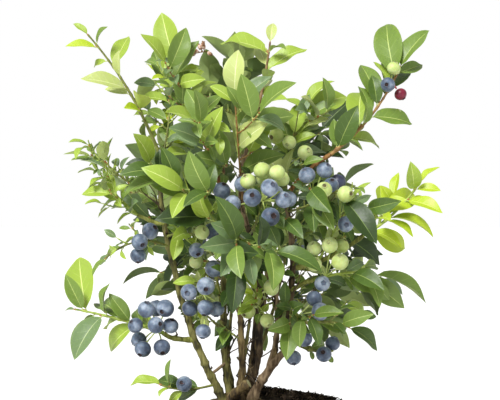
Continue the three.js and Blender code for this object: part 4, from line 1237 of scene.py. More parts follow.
# %% Bark, cracked as it grows
def make_bark(name, dark, middle, light):
    """Bark that cracks lengthwise: long streaks, dark in the cracks, pale where the skin peels."""
    finish, shader = new_finish(name, Roughness=0.82, IOR=1.45)
    streaks = grain(finish, 2.4, stretch=(1, 1, 0.18), detail=8)
    patches = grain(finish, 16, detail=2)
    mixed = mean_of(finish, streaks, patches)
    paint(finish, shader, shade_by(finish, mixed, (0.4, dark), (0.49, middle), (0.59, light)))
    relief(finish, shader, streaks, 0.9)
    return finish


BARK = {
    "old": make_bark("old cane bark", "#2C2214", "#574728", "#7A6A42"),
    "dark": make_bark("dark cane bark", "#241B11", "#463826", "#6B5A3F"),
    "olive": make_bark("olive cane bark", "#36331A", "#63602F", "#827D48"),
    "pink": make_bark("peeling cane bark", "#46351F", "#76634A", "#9A8565"),
    "green": make_bark("young green bark", "#565A22", "#868A3E", "#A5A75C"),
    "red": make_bark("reddish shoot bark", "#4E3018", "#80562E", "#A88048"),
}
LIMB_BARK = dict(zip(limbs, (  # in the order of the limbs' rows
    "olive olive old dark pink old dark olive old old green green red pink red green green olive olive"
).split()))

# %% Grow the limbs
WOOD = Facts(sides=16, ring=2.2, least_rings=8, lump=6, lump_height=0.9, crack=2, crack_height=0.5, full=3.5)
OLD = Facts(waves=4, wander=1.1, kink=1.0, apart=15, swell=0.26, reach=2.0)
SEED = Facts(
    limbs=3000, young=3500, snags=3600, roots=77, threads=8800, shoots=4000, leaves=5000, berries=6000,
    buds=7000,
)


def kinks(shares, length, random, apart, size):
    """A seeded zigzag: a cane turns a little at every node. Nil at both ends."""
    count = max(2, round(length / apart))
    turns = np.array([[spread(random, 1), spread(random, 1), 0] for _ in range(count + 1)])
    turns[[0, -1]] = 0
    places = np.linspace(0, 1, count + 1)
    return size * np.column_stack([np.interp(shares, places, turns[:, axis]) for axis in range(3)])


def woody_run(curve, radii_at, plan, random, finish=0):
    """The run of one cane or bough, with its drift, its kinks and its swollen nodes."""
    shares = np.linspace(0, 1, max(WOOD.least_rings, round(curve.length / WOOD.ring)))
    points = curve.through(shares) + wander(shares, random, plan.waves, plan.wander)
    points += kinks(shares, curve.length, random, plan.apart, plan.kink)
    swell = swellings(shares, curve.length, random, plan.apart, plan.swell, plan.reach)
    return points, radii_at(shares) * (1 + swell), finish


def make_limb(limb, number):
    """One cane or bough with its bark in relief."""
    facts = (*limb.thick, limb.curve.length, limb.on_foot)
    random = make_random(SEED.limbs + number)
    run = woody_run(limb.curve, lambda shares: limb_radius(*facts, shares), OLD, random)
    piece = round_rods(limb.name + "_bark", [run], WOOD.sides, [BARK[LIMB_BARK[limb.name]]])
    share = min(1, limb.thick[0] / WOOD.full)
    roughen(piece, limb.name + "_lumps", WOOD.lump, WOOD.lump_height * share)
    roughen(piece, limb.name + "_cracks", WOOD.crack, WOOD.crack_height * share)
    finish_piece(piece, "bark" if limb.on_foot else "green_wood", limb.name)
    return piece


canes = [make_limb(limb, number) for number, limb in enumerate(limbs.values())]

# %% [markdown]
# Thinner canes of a year or two stand between the old ones: they leave them low down and go up into the
# crown. One short twig grew across from cane to cane with an elbow in it.

# %% Young canes between the old ones
YOUNG_ROWS = [
    ("cane_low_right", 0.4, (26, -2, 312), "pink"),
    ("cane_low_right", 0.6, (38, 8, 300), "olive"),
    ("cane_mid", 0.1, (6, -9, 318), "olive"),
    ("cane_mid_left", 0.14, (-15, 12, 312), "olive"),
    ("cane_mid_right", 0.12, (12, 14, 322), "dark"),
    ("cane_back_right", 0.2, (34, 34, 330), "olive"),
    ("cane_back_left", 0.2, (-34, 36, 322), "green"),
]
YOUNG = Facts(thick=1.9, thin=1.1, bow=5, waves=3, wander=1.6, kink=0.7, apart=11, swell=0.25, reach=1.6)
YOUNG_LUMPS = (3, 0.35)
ELBOW = Facts(corner=(-32.3, -6, 225.5), ends=[("cane_left", 0.11), ("cane_mid_left", 0.2)], thick=1.5)
BARKS = list(BARK)


def young_run(row, random):
    """The run of one young cane."""
    name, share, tip, bark = row
    start = limbs[name].curve.at(share)
    curve = Bow(start, tip, (spread(random, YOUNG.bow), spread(random, YOUNG.bow), 0))
    taper = YOUNG.thin - YOUNG.thick
    return woody_run(curve, lambda shares: YOUNG.thick + taper * shares, YOUNG, random, BARKS.index(bark))


random = make_random(SEED.young)
young_runs = [young_run(row, random) for row in YOUNG_ROWS]
start, end = [limbs[name].curve.at(share) for name, share in ELBOW.ends]
corners = [start, np.array(ELBOW.corner), end]
elbow = np.concatenate([np.linspace(a, b, 6)[:-1] for a, b in zip(corners, corners[1:])] + [corners[-1:]])
young_runs.append((elbow, np.full(len(elbow), ELBOW.thick), BARKS.index("pink")))
young_canes = round_rods("young_canes", young_runs, 12, BARK.values())
roughen(young_canes, "young_bark", *YOUNG_LUMPS)
finish_piece(young_canes, "bark")

# %% [markdown]
# One cane was sawn off low down. The cut shows bare wood, paler than the bark round it, with fine rings.

# %% Sawn wood on the stub
SAWN = two_tone("sawn wood", ("#8F8B5C", "#B4AF86"), 1.4, 1.4, 0.3, detail=2, Roughness=0.8)
CUT = Facts(reach=1.2, facing=0.8)


def bare_the_cut(stub, limb):
    """Gives the stub's end, the faces that look along it near its tip, the sawn finish."""
    stub.data.materials.append(SAWN)
    tip = limb.curve.at(1)
    way = limb.curve.along(1)
    for face in stub.data.polygons:
        near = norm(np.array(face.center) / MM - tip) < CUT.reach * limb.thick[1]
        if near and np.dot(face.normal, way) > CUT.facing:
            face.material_index = len(stub.data.materials) - 1


bare_the_cut(canes[list(limbs).index("cut_stub")], limbs["cut_stub"])

# %% [markdown]
# Old canes carry what the years left on them: short dead spurs where twigs broke off, and thin bare twigs
# that wander between the canes and fork. They are rods as well, dark and dry.

# %% Spurs and dead twigs
SPUR = Facts(
    apart=13, least=2.5, most=9, thick=1.15, thin=0.6, from_share=0.1, to_share=0.97, rise=0.7,
    first=0.4, end_rise=1.6, last=0.6,
)
DEAD = Facts(
    least=22, most=46, thick=0.75, thin=0.35, wander=2.6, forks=2, fork=0.4, from_share=0.2, span=0.6,
    rise=0.9, fork_rise=0.6, fork_from=3, fork_span=7,
)
DEAD_FROM = {
    "cane_left": 2, "cane_mid_left": 4, "cane_mid": 5, "cane_mid_right": 5, "cane_right_inner": 4,
    "cane_right_outer": 4, "cane_low_right": 3, "cane_back_left": 3, "cane_back_right": 3,
}


def side_way(random, rise):
    """A seeded direction to one side, rising by a share of its length."""
    return unit(level_way(2 * math.pi * random(), rise))


def spur_runs(limb, random):
    """Short snags all along a limb, each with one elbow."""
    runs = []
    place = SPUR.apart * random()
    while place < limb.curve.length:
        share = place / limb.curve.length
        place += SPUR.apart * (0.5 + random())
        if not SPUR.from_share < share < SPUR.to_share:
            continue
        foot = limb.curve.at(share)
        size = SPUR.least + (SPUR.most - SPUR.least) * random() ** 2
        base = limb_radius(*limb.thick, limb.curve.length, limb.on_foot, share)
        elbow = foot + side_way(random, SPUR.rise) * (base + SPUR.first * size)
        points = np.array([foot, elbow, elbow + side_way(random, SPUR.end_rise) * SPUR.last * size])
        runs.append((points, [SPUR.thick, 0.9 * SPUR.thick, SPUR.thin], 0))
    return runs


def dead_runs(limb, random, count):
    """Thin bare twigs from a limb, each with its forks."""
    runs = []
    for _ in range(count):
        size = DEAD.least + (DEAD.most - DEAD.least) * random()
        start = limb.curve.at(DEAD.from_share + DEAD.span * random())
        tip = start + side_way(random, DEAD.rise) * size
        shares = np.linspace(0, 1, 12)
        points = start + shares[:, None] * (tip - start) + wander(shares, random, 4, DEAD.wander)
        radii = DEAD.thick + (DEAD.thin - DEAD.thick) * shares
        runs.append((points, radii, 0))
        for _ in range(DEAD.forks):
            node = DEAD.fork_from + int(DEAD.fork_span * random())
            way = side_way(random, DEAD.fork_rise) * size * DEAD.fork * random()
            fork = points[node] + np.linspace(0, 1, 4)[:, None] * way
            runs.append((fork, [radii[node], 0.8 * radii[node], DEAD.thin, DEAD.thin], 0))
    return runs


random = make_random(SEED.snags)
snag_runs = []
for name, limb in limbs.items():
    if limb.thick[0] > SPUR.thick * 2 and name != "cut_stub":
        snag_runs += spur_runs(limb, random)
    snag_runs += dead_runs(limb, random, DEAD_FROM.get(name, 0))
snags = round_rods("spurs_and_dead_twigs", snag_runs, 6, [BARK["dark"]])
finish_piece(snags, "bark")
print(len(snag_runs), "spurs, dead twigs and forks")

# %% [markdown]
# ## The foot
# Where the canes meet, years of cutting back have left a lumpy crown of wood, half sunk in the peat, with
# roots running out under the surface. It is a ball cut flat, pushed into lobes, and roughened.

# %% The woody foot and its roots
BURL = Facts(on_cut=1e-3, sunk=3, lumps=(8, 3.2), cracks=(2.2, 1.4))
ROOT = Facts(
    count=7, turn=0.3, above=4, inside=0.6, least=26, more=18, drop=11, bow=3, rise=2, drift=1.2, thick=3.2,
    thinned=2.2, knobs=0.12, knob_waves=17, lumps=(4, 0.8),
)


def make_foot():
    """A lobed dome of old wood, closed below."""
    foot = fresh(bpy.ops.mesh.primitive_uv_sphere_add, segments=64, ring_count=32, radius=MM)
    edit_all()
    cut = {"plane_co": (0, 0, 0), "plane_no": UP, "use_fill": True, "clear_inner": True}
    bpy.ops.mesh.bisect(**cut, threshold=BURL.on_cut * MM)
    leave_edit()
    points = vertices_of(foot)
    turn = np.arctan2(points[:, 1], points[:, 0])
    lobe = 1 + FOOT.lobe * np.cos(FOOT.lobes * turn + FOOT.turn)
    points[:, 0] = FOOT.x + FOOT.radius * points[:, 0] * lobe
    points[:, 1] = FOOT.y + FOOT.radius * points[:, 1] * lobe * FOOT.depth
    points[:, 2] = FOOT.bottom - BURL.sunk + (FOOT.height + BURL.sunk) * points[:, 2]
    move_vertices(foot, points)
    roughen(foot, "burls", *BURL.lumps)
    roughen(foot, "foot_cracks", *BURL.cracks)
    bpy.ops.object.shade_smooth()
    foot.name = "woody_foot"
    return foot


def root_runs():
    """Roots that leave the foot, run level for a while and dive into the peat."""
    random = make_random(SEED.roots)
    shares = np.linspace(0, 1, 20)
    runs = []
    for k in range(ROOT.count):
        angle = 2 * math.pi * k / ROOT.count + spread(random, ROOT.turn)
        way = level_way(angle)
        start = np.array([FOOT.x, FOOT.y, FOOT.bottom + ROOT.above]) + way * FOOT.radius * ROOT.inside
        tip = start + way * (ROOT.least + ROOT.more * random()) - UP * ROOT.drop
        curve = Bow(start, tip, (spread(random, ROOT.bow), spread(random, ROOT.bow), ROOT.rise))
        points = curve.through(shares) + wander(shares, random, 3, ROOT.drift)
        knobs = 1 + ROOT.knobs * np.sin(ROOT.knob_waves * shares + k)
        runs.append((points, (ROOT.thick - ROOT.thinned * shares) * knobs, 0))
    return runs


foot = make_foot()
foot.data.materials.append(BARK["old"])
finish_piece(foot, "bark", "foot")
roots = round_rods("surface_roots", root_runs(), 10, [BARK["pink"]])
roughen(roots, "root_lumps", *ROOT.lumps)
finish_piece(roots, "bark")

# %% [markdown]
# Peat is half rotted moss and reed, so pale and dark threads stick out of it everywhere, most of all where
# the ridge breaks off.

# %% Threads in the peat
FIBRE = Facts(on_ridge=190, on_heap=150, least=4, most=15, radius=0.3, curl=2.2, rise=0.5, foot=1.3)


def fibre_run(place_of, random):
    """A thin curled thread that lies half in the peat."""
    rise = spread(random, FIBRE.rise)
    way = side_way(random, rise) * (FIBRE.least + (FIBRE.most - FIBRE.least) * random() ** 2)
    shares = np.linspace(0, 1, 7)
    points = place_of(random) + (shares - 0.5)[:, None] * way + wander(shares, random, 2, FIBRE.curl)
    return points, FIBRE.radius * (FIBRE.foot - shares), int(3 * random())


random = make_random(SEED.threads)
thread_runs = [fibre_run(on_ridge, random) for _ in range(FIBRE.on_ridge)]
thread_runs += [fibre_run(on_heap, random) for _ in range(FIBRE.on_heap)]
threads = round_rods("peat_threads", thread_runs, 6, [CRUMB, CHIP, BARK["dark"]])
finish_piece(threads, "peat")
print(len(thread_runs), "threads")

# %% [markdown]
# ## Stems, twigs, petioles and stalks
# The soft shoots are rods too. A stem zigzags a little from node to node and swells where a leaf sits. A
# petiole is a short rod from the stem into the blade's midrib, and a berry's stalk bends under its load.

# %% Young wood
def make_green_wood(name, dark, light):
    """A young shoot's skin: smooth, waxed, flecked with darker spots."""
    return two_tone(name, (dark, light), 4, 1.2, 0.25, Roughness=0.55, IOR=1.45)


SHOOT_SKIN = {
    "lime": make_green_wood("lime shoot skin", "#7D9234", "#A6B650"),
    "olive": make_green_wood("olive shoot skin", "#5E6429", "#858B42"),
    "brown": make_green_wood("brown shoot skin", "#6E5133", "#967650"),
    "red": make_green_wood("reddish shoot skin", "#79562C", "#A68248"),
}
SKINS = list(SHOOT_SKIN)
LIME = SKINS.index("lime")
SHOOT_SKINS = {
    "left_top": "olive", "top": "brown", "top_right": "olive", "right_upper": "red", "right_mid": "lime",
    "top_left": "brown", "mid_high": "brown", "top_mid": "red", "right": "lime", "right_low": "lime",
    "low_right": "olive", "left_low": "lime", "left_mid": "lime", "left_crown": "olive",
}


SHOOT = Facts(
    wander=0.25, swell=0.28, reach=1.6, stem_step=1.6, twig_step=1.8, taper=3, leader_taper=1.2, twig=0.85,
    fine_twig=0.65, twig_tip=0.8,
)


def shoot_run(curve, radii_from, radii_to, step, random, finish, nodes, taper=SHOOT.taper):
    """Points and radii along a shoot, swollen at each node. With a high taper it thins quickly at first."""
    shares = np.linspace(0, 1, max(4, round(curve.length / step)))
    points = curve.through(shares) + wander(shares, random, 3, SHOOT.wander)
    radii = radii_to + (radii_from - radii_to) * (1 - shares) ** taper
    for node in nodes:
        radii = radii * (1 + SHOOT.swell * np.exp(-(((shares - node) * curve.length / SHOOT.reach) ** 2)))
    return points, radii, finish


def nodes_on(shoot, grown):
    """Shares of the way along a shoot at which its leaves sit."""
    mine = [leaf for leaf in grown.leaves if leaf.shoot.curve is shoot.curve]
    return [norm(leaf.root - shoot.curve.start) / shoot.curve.length for leaf in mine]


stem_runs = []
twig_runs = []
for grown in all_growth:
    random = make_random(SEED.shoots + grown.mass.index)
    skin = SKINS.index(SHOOT_SKINS.get(grown.mass.name, "olive"))
    if grown in growth:
        stem = grown.stem
        size = (stem.thick, STEM.tip, SHOOT.stem_step)
        taper = SHOOT.leader_taper if grown.mass.at == 1 else SHOOT.taper
        stem_runs.append(shoot_run(stem.curve, *size, random, skin, nodes_on(stem, grown), taper))
    for twig in grown.twigs:
        share, twig_skin = (SHOOT.twig, skin) if twig.grade is COARSE else (SHOOT.fine_twig, LIME)
        size = (TWIG.radius * share, TWIG.tip * SHOOT.twig_tip, SHOOT.twig_step)
        twig_runs.append(shoot_run(twig.curve, *size, random, twig_skin, nodes_on(twig, grown)))
stems = round_rods("leafy_stems", stem_runs, 10, SHOOT_SKIN.values())
finish_piece(stems, "green_wood", *["foliage_" + mass.name for mass in masses])
side_twigs = round_rods("side_twigs", twig_runs, 8, SHOOT_SKIN.values())
finish_piece(side_twigs, "green_wood")

# %% Petioles
PETIOLE = Facts(
    thick=0.75, thin=0.5, into=1.0, out=1.2, past=5.0, under=0.35, most=1.15, least=0.55, full_leaf=90,
    shape=(1.15, 1, 1, 0.6),
)


def petiole_run(leaf):
    """A short rod from the stem to just under the blade's foot."""
    shares = np.array([0.0, PETIOLE.past / leaf.length])
    blade = blade_points(leaf, shares, np.zeros(2), np.full(2, PETIOLE.under))
    points = [leaf.root - leaf.along * PETIOLE.into, leaf.root + leaf.along * PETIOLE.out, *blade]
    size = min(PETIOLE.most, PETIOLE.least + leaf.length / PETIOLE.full_leaf)
    radii = size * np.repeat([PETIOLE.thick, PETIOLE.thin], 2) * PETIOLE.shape
    return np.array(points), radii, 0


petiole_skin = make_green_wood("petiole skin", "#A9BC5C", "#C6D382")
petioles = round_rods("petioles", [petiole_run(leaf) for leaf in leaves], 6, [petiole_skin])
finish_piece(petioles, "green_wood")

# %% [markdown]
# ## One leaf, modelled flat
# A blueberry leaf is a plain pointed oval with a smooth edge. Its pale midrib lies in a groove, and from it
# a few side veins slant forward and quilt the blade. Its underside is paler, with a keel. One leaf is
# modelled flat and carried onto each blade. It is drawn in the blade's own terms: X is the side, from -1 to
# 1, Y the share of the way along, and Z the lift off it. The veins are strips of faces between rows.

# %% Model the template
BLADE = Facts(
    veins=5, first=0.1, apart=0.143, vein=0.012, thinned=0.7, last=0.85, rib=0.036, half=0.66, slant=0.22,
    margin=0.07, groove=0.04, quilt=0.16, keel=0.6,
)
VEIN_FOOTS = [BLADE.first + vein * BLADE.apart for vein in range(BLADE.veins)]
ROWS = np.array([0.0, *[foot + side for foot in VEIN_FOOTS for side in (0, BLADE.vein)], BLADE.last, 1.0])
FINISH_NUMBER = {"blade": 0, "rib": 1, "vein": 2, "back": 3}
TOUCH = 1e-3 * MM
SLACK = 0.01


def row_share(row, width):
    """Where a row lies at a width from 0 to 1: it slants forward, and the rows are even at the margin."""
    inner = ROWS[row] + BLADE.slant * width * np.sin(math.pi * ROWS[row])
    past_vein = (row % 2 == 0) & (row > 0) & (row <= 2 * BLADE.veins)
    inner -= np.where(past_vein, BLADE.thinned * BLADE.vein * width / BLADE.half, 0)
    even = row / (len(ROWS) - 1)
    outer = even + BLADE.margin * np.sin(math.pi * even)
    return np.where(width > BLADE.half + SLACK, outer, inner)


def leaf_lift(row, width):
    """How far the upper side lies above the flat: a groove for the midrib, and a fold at every vein."""
    inside = (row > 0) & (row < len(ROWS) - 1)
    fold = np.where(row % 2 == 1, BLADE.quilt, 0)
    lift = np.where(width < BLADE.rib + SLACK, -BLADE.groove, np.where(width < 1 - SLACK, fold, 0))
    return np.where(inside, lift, 0)


def leaf_finish(row, width):
    """Which finish a face of the upper side has, from its first row and its middle's width."""
    if width < BLADE.rib:
        return FINISH_NUMBER["rib"]
    on_vein = row % 2 == 1 and row <= 2 * BLADE.veins
    return FINISH_NUMBER["vein" if on_vein and width < BLADE.half else "blade"]


def leaf_sheet(columns, lift_of, finish_of):
    """A flat sheet whose columns stand at the sides given, pinched to a point at both ends."""
    counts = {"x_subdivisions": len(columns) - 1, "y_subdivisions": len(ROWS) - 1}
    sheet = fresh(bpy.ops.mesh.primitive_grid_add, size=2 * MM, **counts)
    points = vertices_of(sheet)
    column = np.round((points[:, 0] + 1) / 2 * (len(columns) - 1)).astype(int)
    row = np.round((points[:, 1] + 1) / 2 * (len(ROWS) - 1)).astype(int)
    side = np.array(columns)[column]
    move_vertices(sheet, np.column_stack([side, row_share(row, np.abs(side)), lift_of(row, np.abs(side))]))
    numbers = sheet.data.attributes.new("finish", "INT", "FACE")
    for face in sheet.data.polygons:
        corners = list(face.vertices)
        numbers.data[face.index].value = finish_of(row[corners].min(), abs(side[corners].mean()))
    edit_all()
    bpy.ops.mesh.select_mode(type="VERT")
    for end in (0, 1):
        select_where(sheet, lambda co: abs(co.y - end * MM) < TOUCH)
        bpy.ops.mesh.merge(type="CENTER")
    leave_edit()
    return sheet


def plain(row, width):
    """The underside's lift: nothing but a keel below the midrib."""
    inside = (row > 0) & (row < len(ROWS) - 1)
    return np.where(inside & (width < BLADE.rib), -BLADE.groove - BLADE.keel, 0)


def model_leaf():
    """The template: a veined upper side and a keeled underside, closed at the edge."""
    half = BLADE.half
    rib = BLADE.rib
    top = leaf_sheet([-1, -half, -rib, rib, half, 1], leaf_lift, leaf_finish)
    back = leaf_sheet([-1, 0, 1], plain, lambda row, width: FINISH_NUMBER["back"])
    only(back)
    edit_all()
    bpy.ops.mesh.flip_normals()
    leave_edit()
    only(top)
    back.select_set(True)
    bpy.ops.object.join()
    edit_all()
    bpy.ops.mesh.remove_doubles(threshold=TOUCH)
    leave_edit()
    return top


flat_leaf = take_template(model_leaf())
SIDE, SHARE, LIFT = flat_leaf.points.T * [[-1], [1], [1]]  # a blade counts its sides the other way round
print("the leaf template has", len(flat_leaf.faces), "faces")

# %% [markdown]
# The template goes onto each blade by the formula that the rule measured with. What makes it a real leaf
# is added here: an arched section, a wavy edge, a slight twist, a bend to one side and a drawn-out tip.

# %% Carry the template onto every leaf
SHAPE = Facts(
    arch=0.008, arch_spread=0.03, wave=0.03, waves=1.3, wave_spread=0.6, twist=0.09, sickle=0.1,
    tip_from=0.62, tip=0.34, vein_least=0.35, vein_length=60,
)


def shape_leaf(leaf, random):
    """The template's points on one leaf."""
    width = np.abs(SIDE)
    outline = leaf_outline(SHARE)
    arch = (SHAPE.arch + SHAPE.arch_spread * random()) * 4 * width * (1 - width) * leaf.width * outline
    phase = 2 * math.pi * random()
    waves = SHAPE.waves + SHAPE.wave_spread * random()
    wave = spread(random, SHAPE.wave) * leaf.length * width * np.sin(2 * math.pi * waves * SHARE + phase)
    twist = spread(random, SHAPE.twist) * SHARE * SIDE * leaf.width * outline
    size = min(1.0, SHAPE.vein_least + leaf.length / SHAPE.vein_length)
    lift = LIFT * size * np.sqrt(outline)
    drawn = np.clip((SHARE - SHAPE.tip_from) / (1 - SHAPE.tip_from), 0, 1) ** 2
    points = blade_points(leaf, SHARE, SIDE * (1 - SHAPE.tip * drawn), -(lift + arch + wave + twist))
    sickle = spread(random, SHAPE.sickle) * leaf.length * SHARE * (1 - SHARE)
    return points + sickle[:, None] * leaf.across


# %% [markdown]
# A young leaf's skin is thin and lets the light through, so it glows yellow-green. An older one is thicker,
# darker and greyer, waxed above and matt below. The tints are plain colours, dealt out leaf by leaf from
# what grows on each shoot: pale ones at the tips and on the outer shoots, partly young growth and partly
# painted light, and dark ones deep in the bush, where the deep and shade tints are painted shade.

# %% Leaf skins, dealt out by shoot
LEAF_TINTS = {
    "lime": ("#A9BE2C", "#D2DC74", "#BACB4E", "#BBCA60"),
    "fresh": ("#94AC3E", "#CBD682", "#A8BC58", "#ACBC6E"),
    "pale": ("#B2BE72", "#D6DCA4", "#C0CA88", "#C0C890"),
    "mid": ("#6C8536", "#ADBC6A", "#809649", "#99AA66"),
    # The deep tint is a real dark green on outer shoots and painted shade on the centre shoots.
    "deep": ("#4A6324", "#8C9E50", "#5D7534", "#829454"),
    "grey": ("#6B8254", "#A6B482", "#7C9264", "#9EAE82"),
    # The shade tint is a darker green that stands for painted shade inside the crown.
    "shade": ("#2C4016", "#64783C", "#3A5022", "#5C703C"),
}
# Pale tints on top and outer shoots are partly painted light. Deep and shade tints on the centre shoots are
# painted shade.
MASS_TINTS = {
    "left_top": "lime fresh mid pale", "left_crown": "fresh mid lime grey", "top_left": "mid grey fresh mid",
    "mid_high": "mid grey mid fresh", "top_mid": "mid fresh pale grey", "top": "lime fresh pale mid",
    "top_right": "mid pale grey fresh", "right_upper": "mid deep fresh mid", "right_mid": "lime fresh lime",
    "right": "mid deep mid fresh", "right_low": "mid grey deep", "low_right": "deep mid mid fresh",
    "low_fruit": "mid deep", "centre": "deep mid shade deep", "centre_left": "mid fresh deep shade",
    "centre_low": "deep mid grey shade", "centre_right": "deep shade grey mid",
    "left_mid": "fresh mid grey fresh", "left_upper": "mid grey fresh mid",
    "left_inner": "fresh mid deep lime", "left_drop": "fresh grey mid", "left_low": "mid fresh mid grey",
    "inner_left": "mid fresh lime pale", "foot_left": "mid deep fresh", "inner_low": "fresh mid pale lime",
    "low_mid": "deep mid deep",
}
# Shoots at the back and the inner twigs take mostly deep and shade tints, painted shade inside the crown.
OTHER_TINTS = "deep shade mid shade"


def make_leaf_skin(name, colour, roughness, height):
    """Leaf skin: faintly shiny where it is waxed, and thin enough to glow a little."""
    finish, shader = new_finish(name, Roughness=roughness, IOR=1.45, Subsurface_Weight=0.15)
    shader.inputs["Base Color"].default_value = linear(colour)
    shader.inputs["Subsurface Radius"].default_value = (0.8, 1.0, 0.2)
    shader.inputs["Subsurface Scale"].default_value = 1.0 * MM
    relief(finish, shader, grain(finish, 2.2), height, 0.5)
    return finish


def leaf_finishes(tint):
    """The four skins of a tint, in the template's order, each with its roughness and relief."""
    looks = ((", waxed upper side", 0.42, 0.3), (" midrib", 0.5, 0.1), (" side vein", 0.5, 0.1),
             (", matt underside", 0.7, 0.3))
    return [
        make_leaf_skin(tint + " leaf" + part, colour, roughness, height)
        for colour, (part, roughness, height) in zip(LEAF_TINTS[tint], looks)
    ]


def tint_of(mass, random):
    """A leaf's tint: one of its shoot's, dealt out by a seeded draw."""
    choices = MASS_TINTS.get(mass.name, OTHER_TINTS).split()
    return choices[int(random() * len(choices))]


shaped = {tint: [] for tint in LEAF_TINTS}
for grown in all_growth:
    random = make_random(SEED.leaves + grown.mass.index)
    for leaf in grown.leaves:
        shaped[tint_of(grown.mass, random)].append(shape_leaf(leaf, random))
for tint, places in shaped.items():
    piece = joined_copies(tint + "_leaves", flat_leaf, np.array(places), leaf_finishes(tint))
    only(piece)
    bpy.ops.object.shade_smooth_by_angle(angle=SMOOTH)
    finish_piece(piece, "foliage")
print({tint: len(places) for tint, places in shaped.items()})

# %% [markdown]
# ## One berry
# A blueberry is a squashed ball. Where the flower was it has a crown: a low ring of five small lobes round a
# shallow pit. The ring is pulled out of the ball's cap and the pit pushed in again, with the flower's scar in
# the middle of it. The template has a radius of one, with the crown along Z.

# %% Model the template
CROWN = Facts(
    cap=26, rim=0.31, height=0.05, flare=1.1, wall=0.08, pit=-0.13, floor=0.8, scar=0.07, lobes=5,
    lobe_out=0.12, lobe_up=0.03, inner=0.27, outer=0.39, lowest=0.7,
)


def model_berry():
    """A ball of radius one millimetre with a raised ring round a pit, before the ring is cut into lobes."""
    berry = fresh(bpy.ops.mesh.primitive_uv_sphere_add, segments=18, ring_count=12, radius=MM)
    cap = math.cos(math.radians(CROWN.cap)) * MM
    ring = max(math.hypot(*vertex.co[:2]) for vertex in berry.data.vertices if vertex.co.z > cap) / MM
    edit_all()
    bpy.ops.mesh.select_mode(type="VERT")
    select_where(berry, lambda co: co.z > cap)
    bpy.ops.mesh.select_mode(type="FACE")
    bpy.ops.mesh.dissolve_faces()
    bpy.ops.transform.resize(value=(CROWN.rim / ring, CROWN.rim / ring, 1), center_override=(0, 0, 0))
    bpy.ops.mesh.extrude_region_move(TRANSFORM_OT_translate={"value": (0, 0, CROWN.height * MM)})
    bpy.ops.transform.resize(value=(CROWN.flare, CROWN.flare, 1), center_override=(0, 0, MM))
    bpy.ops.mesh.inset(thickness=CROWN.wall * MM)
    bpy.ops.mesh.extrude_region_move(TRANSFORM_OT_translate={"value": (0, 0, CROWN.pit * MM)})
    bpy.ops.transform.resize(value=(CROWN.floor, CROWN.floor, 1), center_override=(0, 0, MM))
    bpy.ops.mesh.poke(offset=CROWN.scar * MM)
    leave_edit(outwards=True)
    return berry


def cut_star(points):
    """Pulls the crown's rim out into lobes with notches between them, and squashes the ball."""
    reach = np.hypot(points[:, 0], points[:, 1])
    rim = (points[:, 2] > 1.0) & (reach > CROWN.inner)
    lobe = np.cos(CROWN.lobes * np.arctan2(points[:, 1], points[:, 0]))
    points[rim, :2] *= (1 + CROWN.lobe_out * lobe[rim])[:, None]
    points[rim, 2] += CROWN.lobe_up * lobe[rim]
    return points * np.array([1, 1, BERRY.squash])


def berry_finish(centre):
    """Which finish a face has: 0 the skin, 1 the crown's ring, 2 the pit."""
    reach = math.hypot(*centre[:2])
    if centre[2] < CROWN.lowest or reach > CROWN.outer:
        return 0
    return 2 if reach < CROWN.inner else 1


berry_ball = take_template(model_berry())
berry_ball.kinds = [berry_finish(np.mean(berry_ball.points[list(face)], axis=0)) for face in berry_ball.faces]
berry_ball.points = cut_star(berry_ball.points)
print("the berry template has", len(berry_ball.faces), "faces,", berry_ball.kinds.count(2), "in its pit")

# %% [markdown]
# Ripe skin is blue-black, but a wax bloom lies over it like dust and makes it slate blue, except where a
# leaf or a neighbour has rubbed it off. The bloom is a sheen over the skin with patches in the colour, and
# it takes the shine away. The pit is dry and brown.

# %% Berry skins
def make_berry_skin(name, rubbed, bloom, light, roughness, sheen):
    """Waxed berry skin: dark where it is rubbed, dusty where the bloom lies."""
    finish, shader = new_finish(name, Roughness=roughness, IOR=1.45, Sheen_Weight=sheen, Sheen_Roughness=0.4)
    patches = mean_of(finish, grain(finish, 7, detail=4), grain(finish, 34))
    paint(finish, shader, shade_by(finish, patches, (0.36, rubbed), (0.49, bloom), (0.62, light)))
    shader.inputs["Subsurface Weight"].default_value = 0.1
    shader.inputs["Subsurface Scale"].default_value = 1.5 * MM
    relief(finish, shader, grain(finish, 1.5), 0.1, 0.5)
    return finish


BERRY_KINDS = {
    "B": ("ripe", "#333D4F", "#5B697D", "#9AA6B6", 0.5, 0.2, "#5A6475", "#2A1C1A"),
    "D": ("dark", "#1F1D2A", "#2F3144", "#454C63", 0.42, 0.12, "#343A4E", "#1C1416"),
    "G": ("green", "#A3B45C", "#B7C777", "#CAD693", 0.5, 0.12, "#BFCB88", "#5A5230"),
    "R": ("crimson", "#420A1C", "#74162F", "#94304A", 0.4, 0.12, "#4A1A22", "#2E1014"),
}
GROWN = {"B": 0.95, "D": 0.92, "G": 0.9, "R": 0.85}
LATE = Facts(mass="right_upper", grown=0.83)
HANG = Facts(out=0.6, sway=0.6, seat=0.8, bend=1.2, thin=0.62, swell=0.25)


def place_berry(berry, random):
    """The template's points on one berry: its crown looks away from its stalk."""
    hang = unit(berry.centre - berry.foot)
    berry.axis = unit(hang + HANG.out * berry.out + jolt(random, HANG.sway))
    grown = GROWN[berry.kind] * (LATE.grown if berry.mass.name == LATE.mass else 1)
    return (berry_ball.points * berry.radius * grown) @ turn_onto(berry.axis, random) + berry.centre


random = make_random(SEED.berries)
for kind, (name, rubbed, bloom, light, roughness, sheen, ring, pit) in BERRY_KINDS.items():
    places = np.array([place_berry(berry, random) for berry in berries if berry.kind == kind])
    finishes = [
        make_berry_skin(name + " berry skin", rubbed, bloom, light, roughness, sheen),
        make_berry_skin(name + " berry crown", pit, ring, bloom, 0.7, sheen),
        make_berry_skin(name + " berry pit", pit, pit, ring, 0.85, 0.0),
    ]
    piece = joined_copies(name + "_berries", berry_ball, places, finishes)
    finish_piece(piece, "berries")

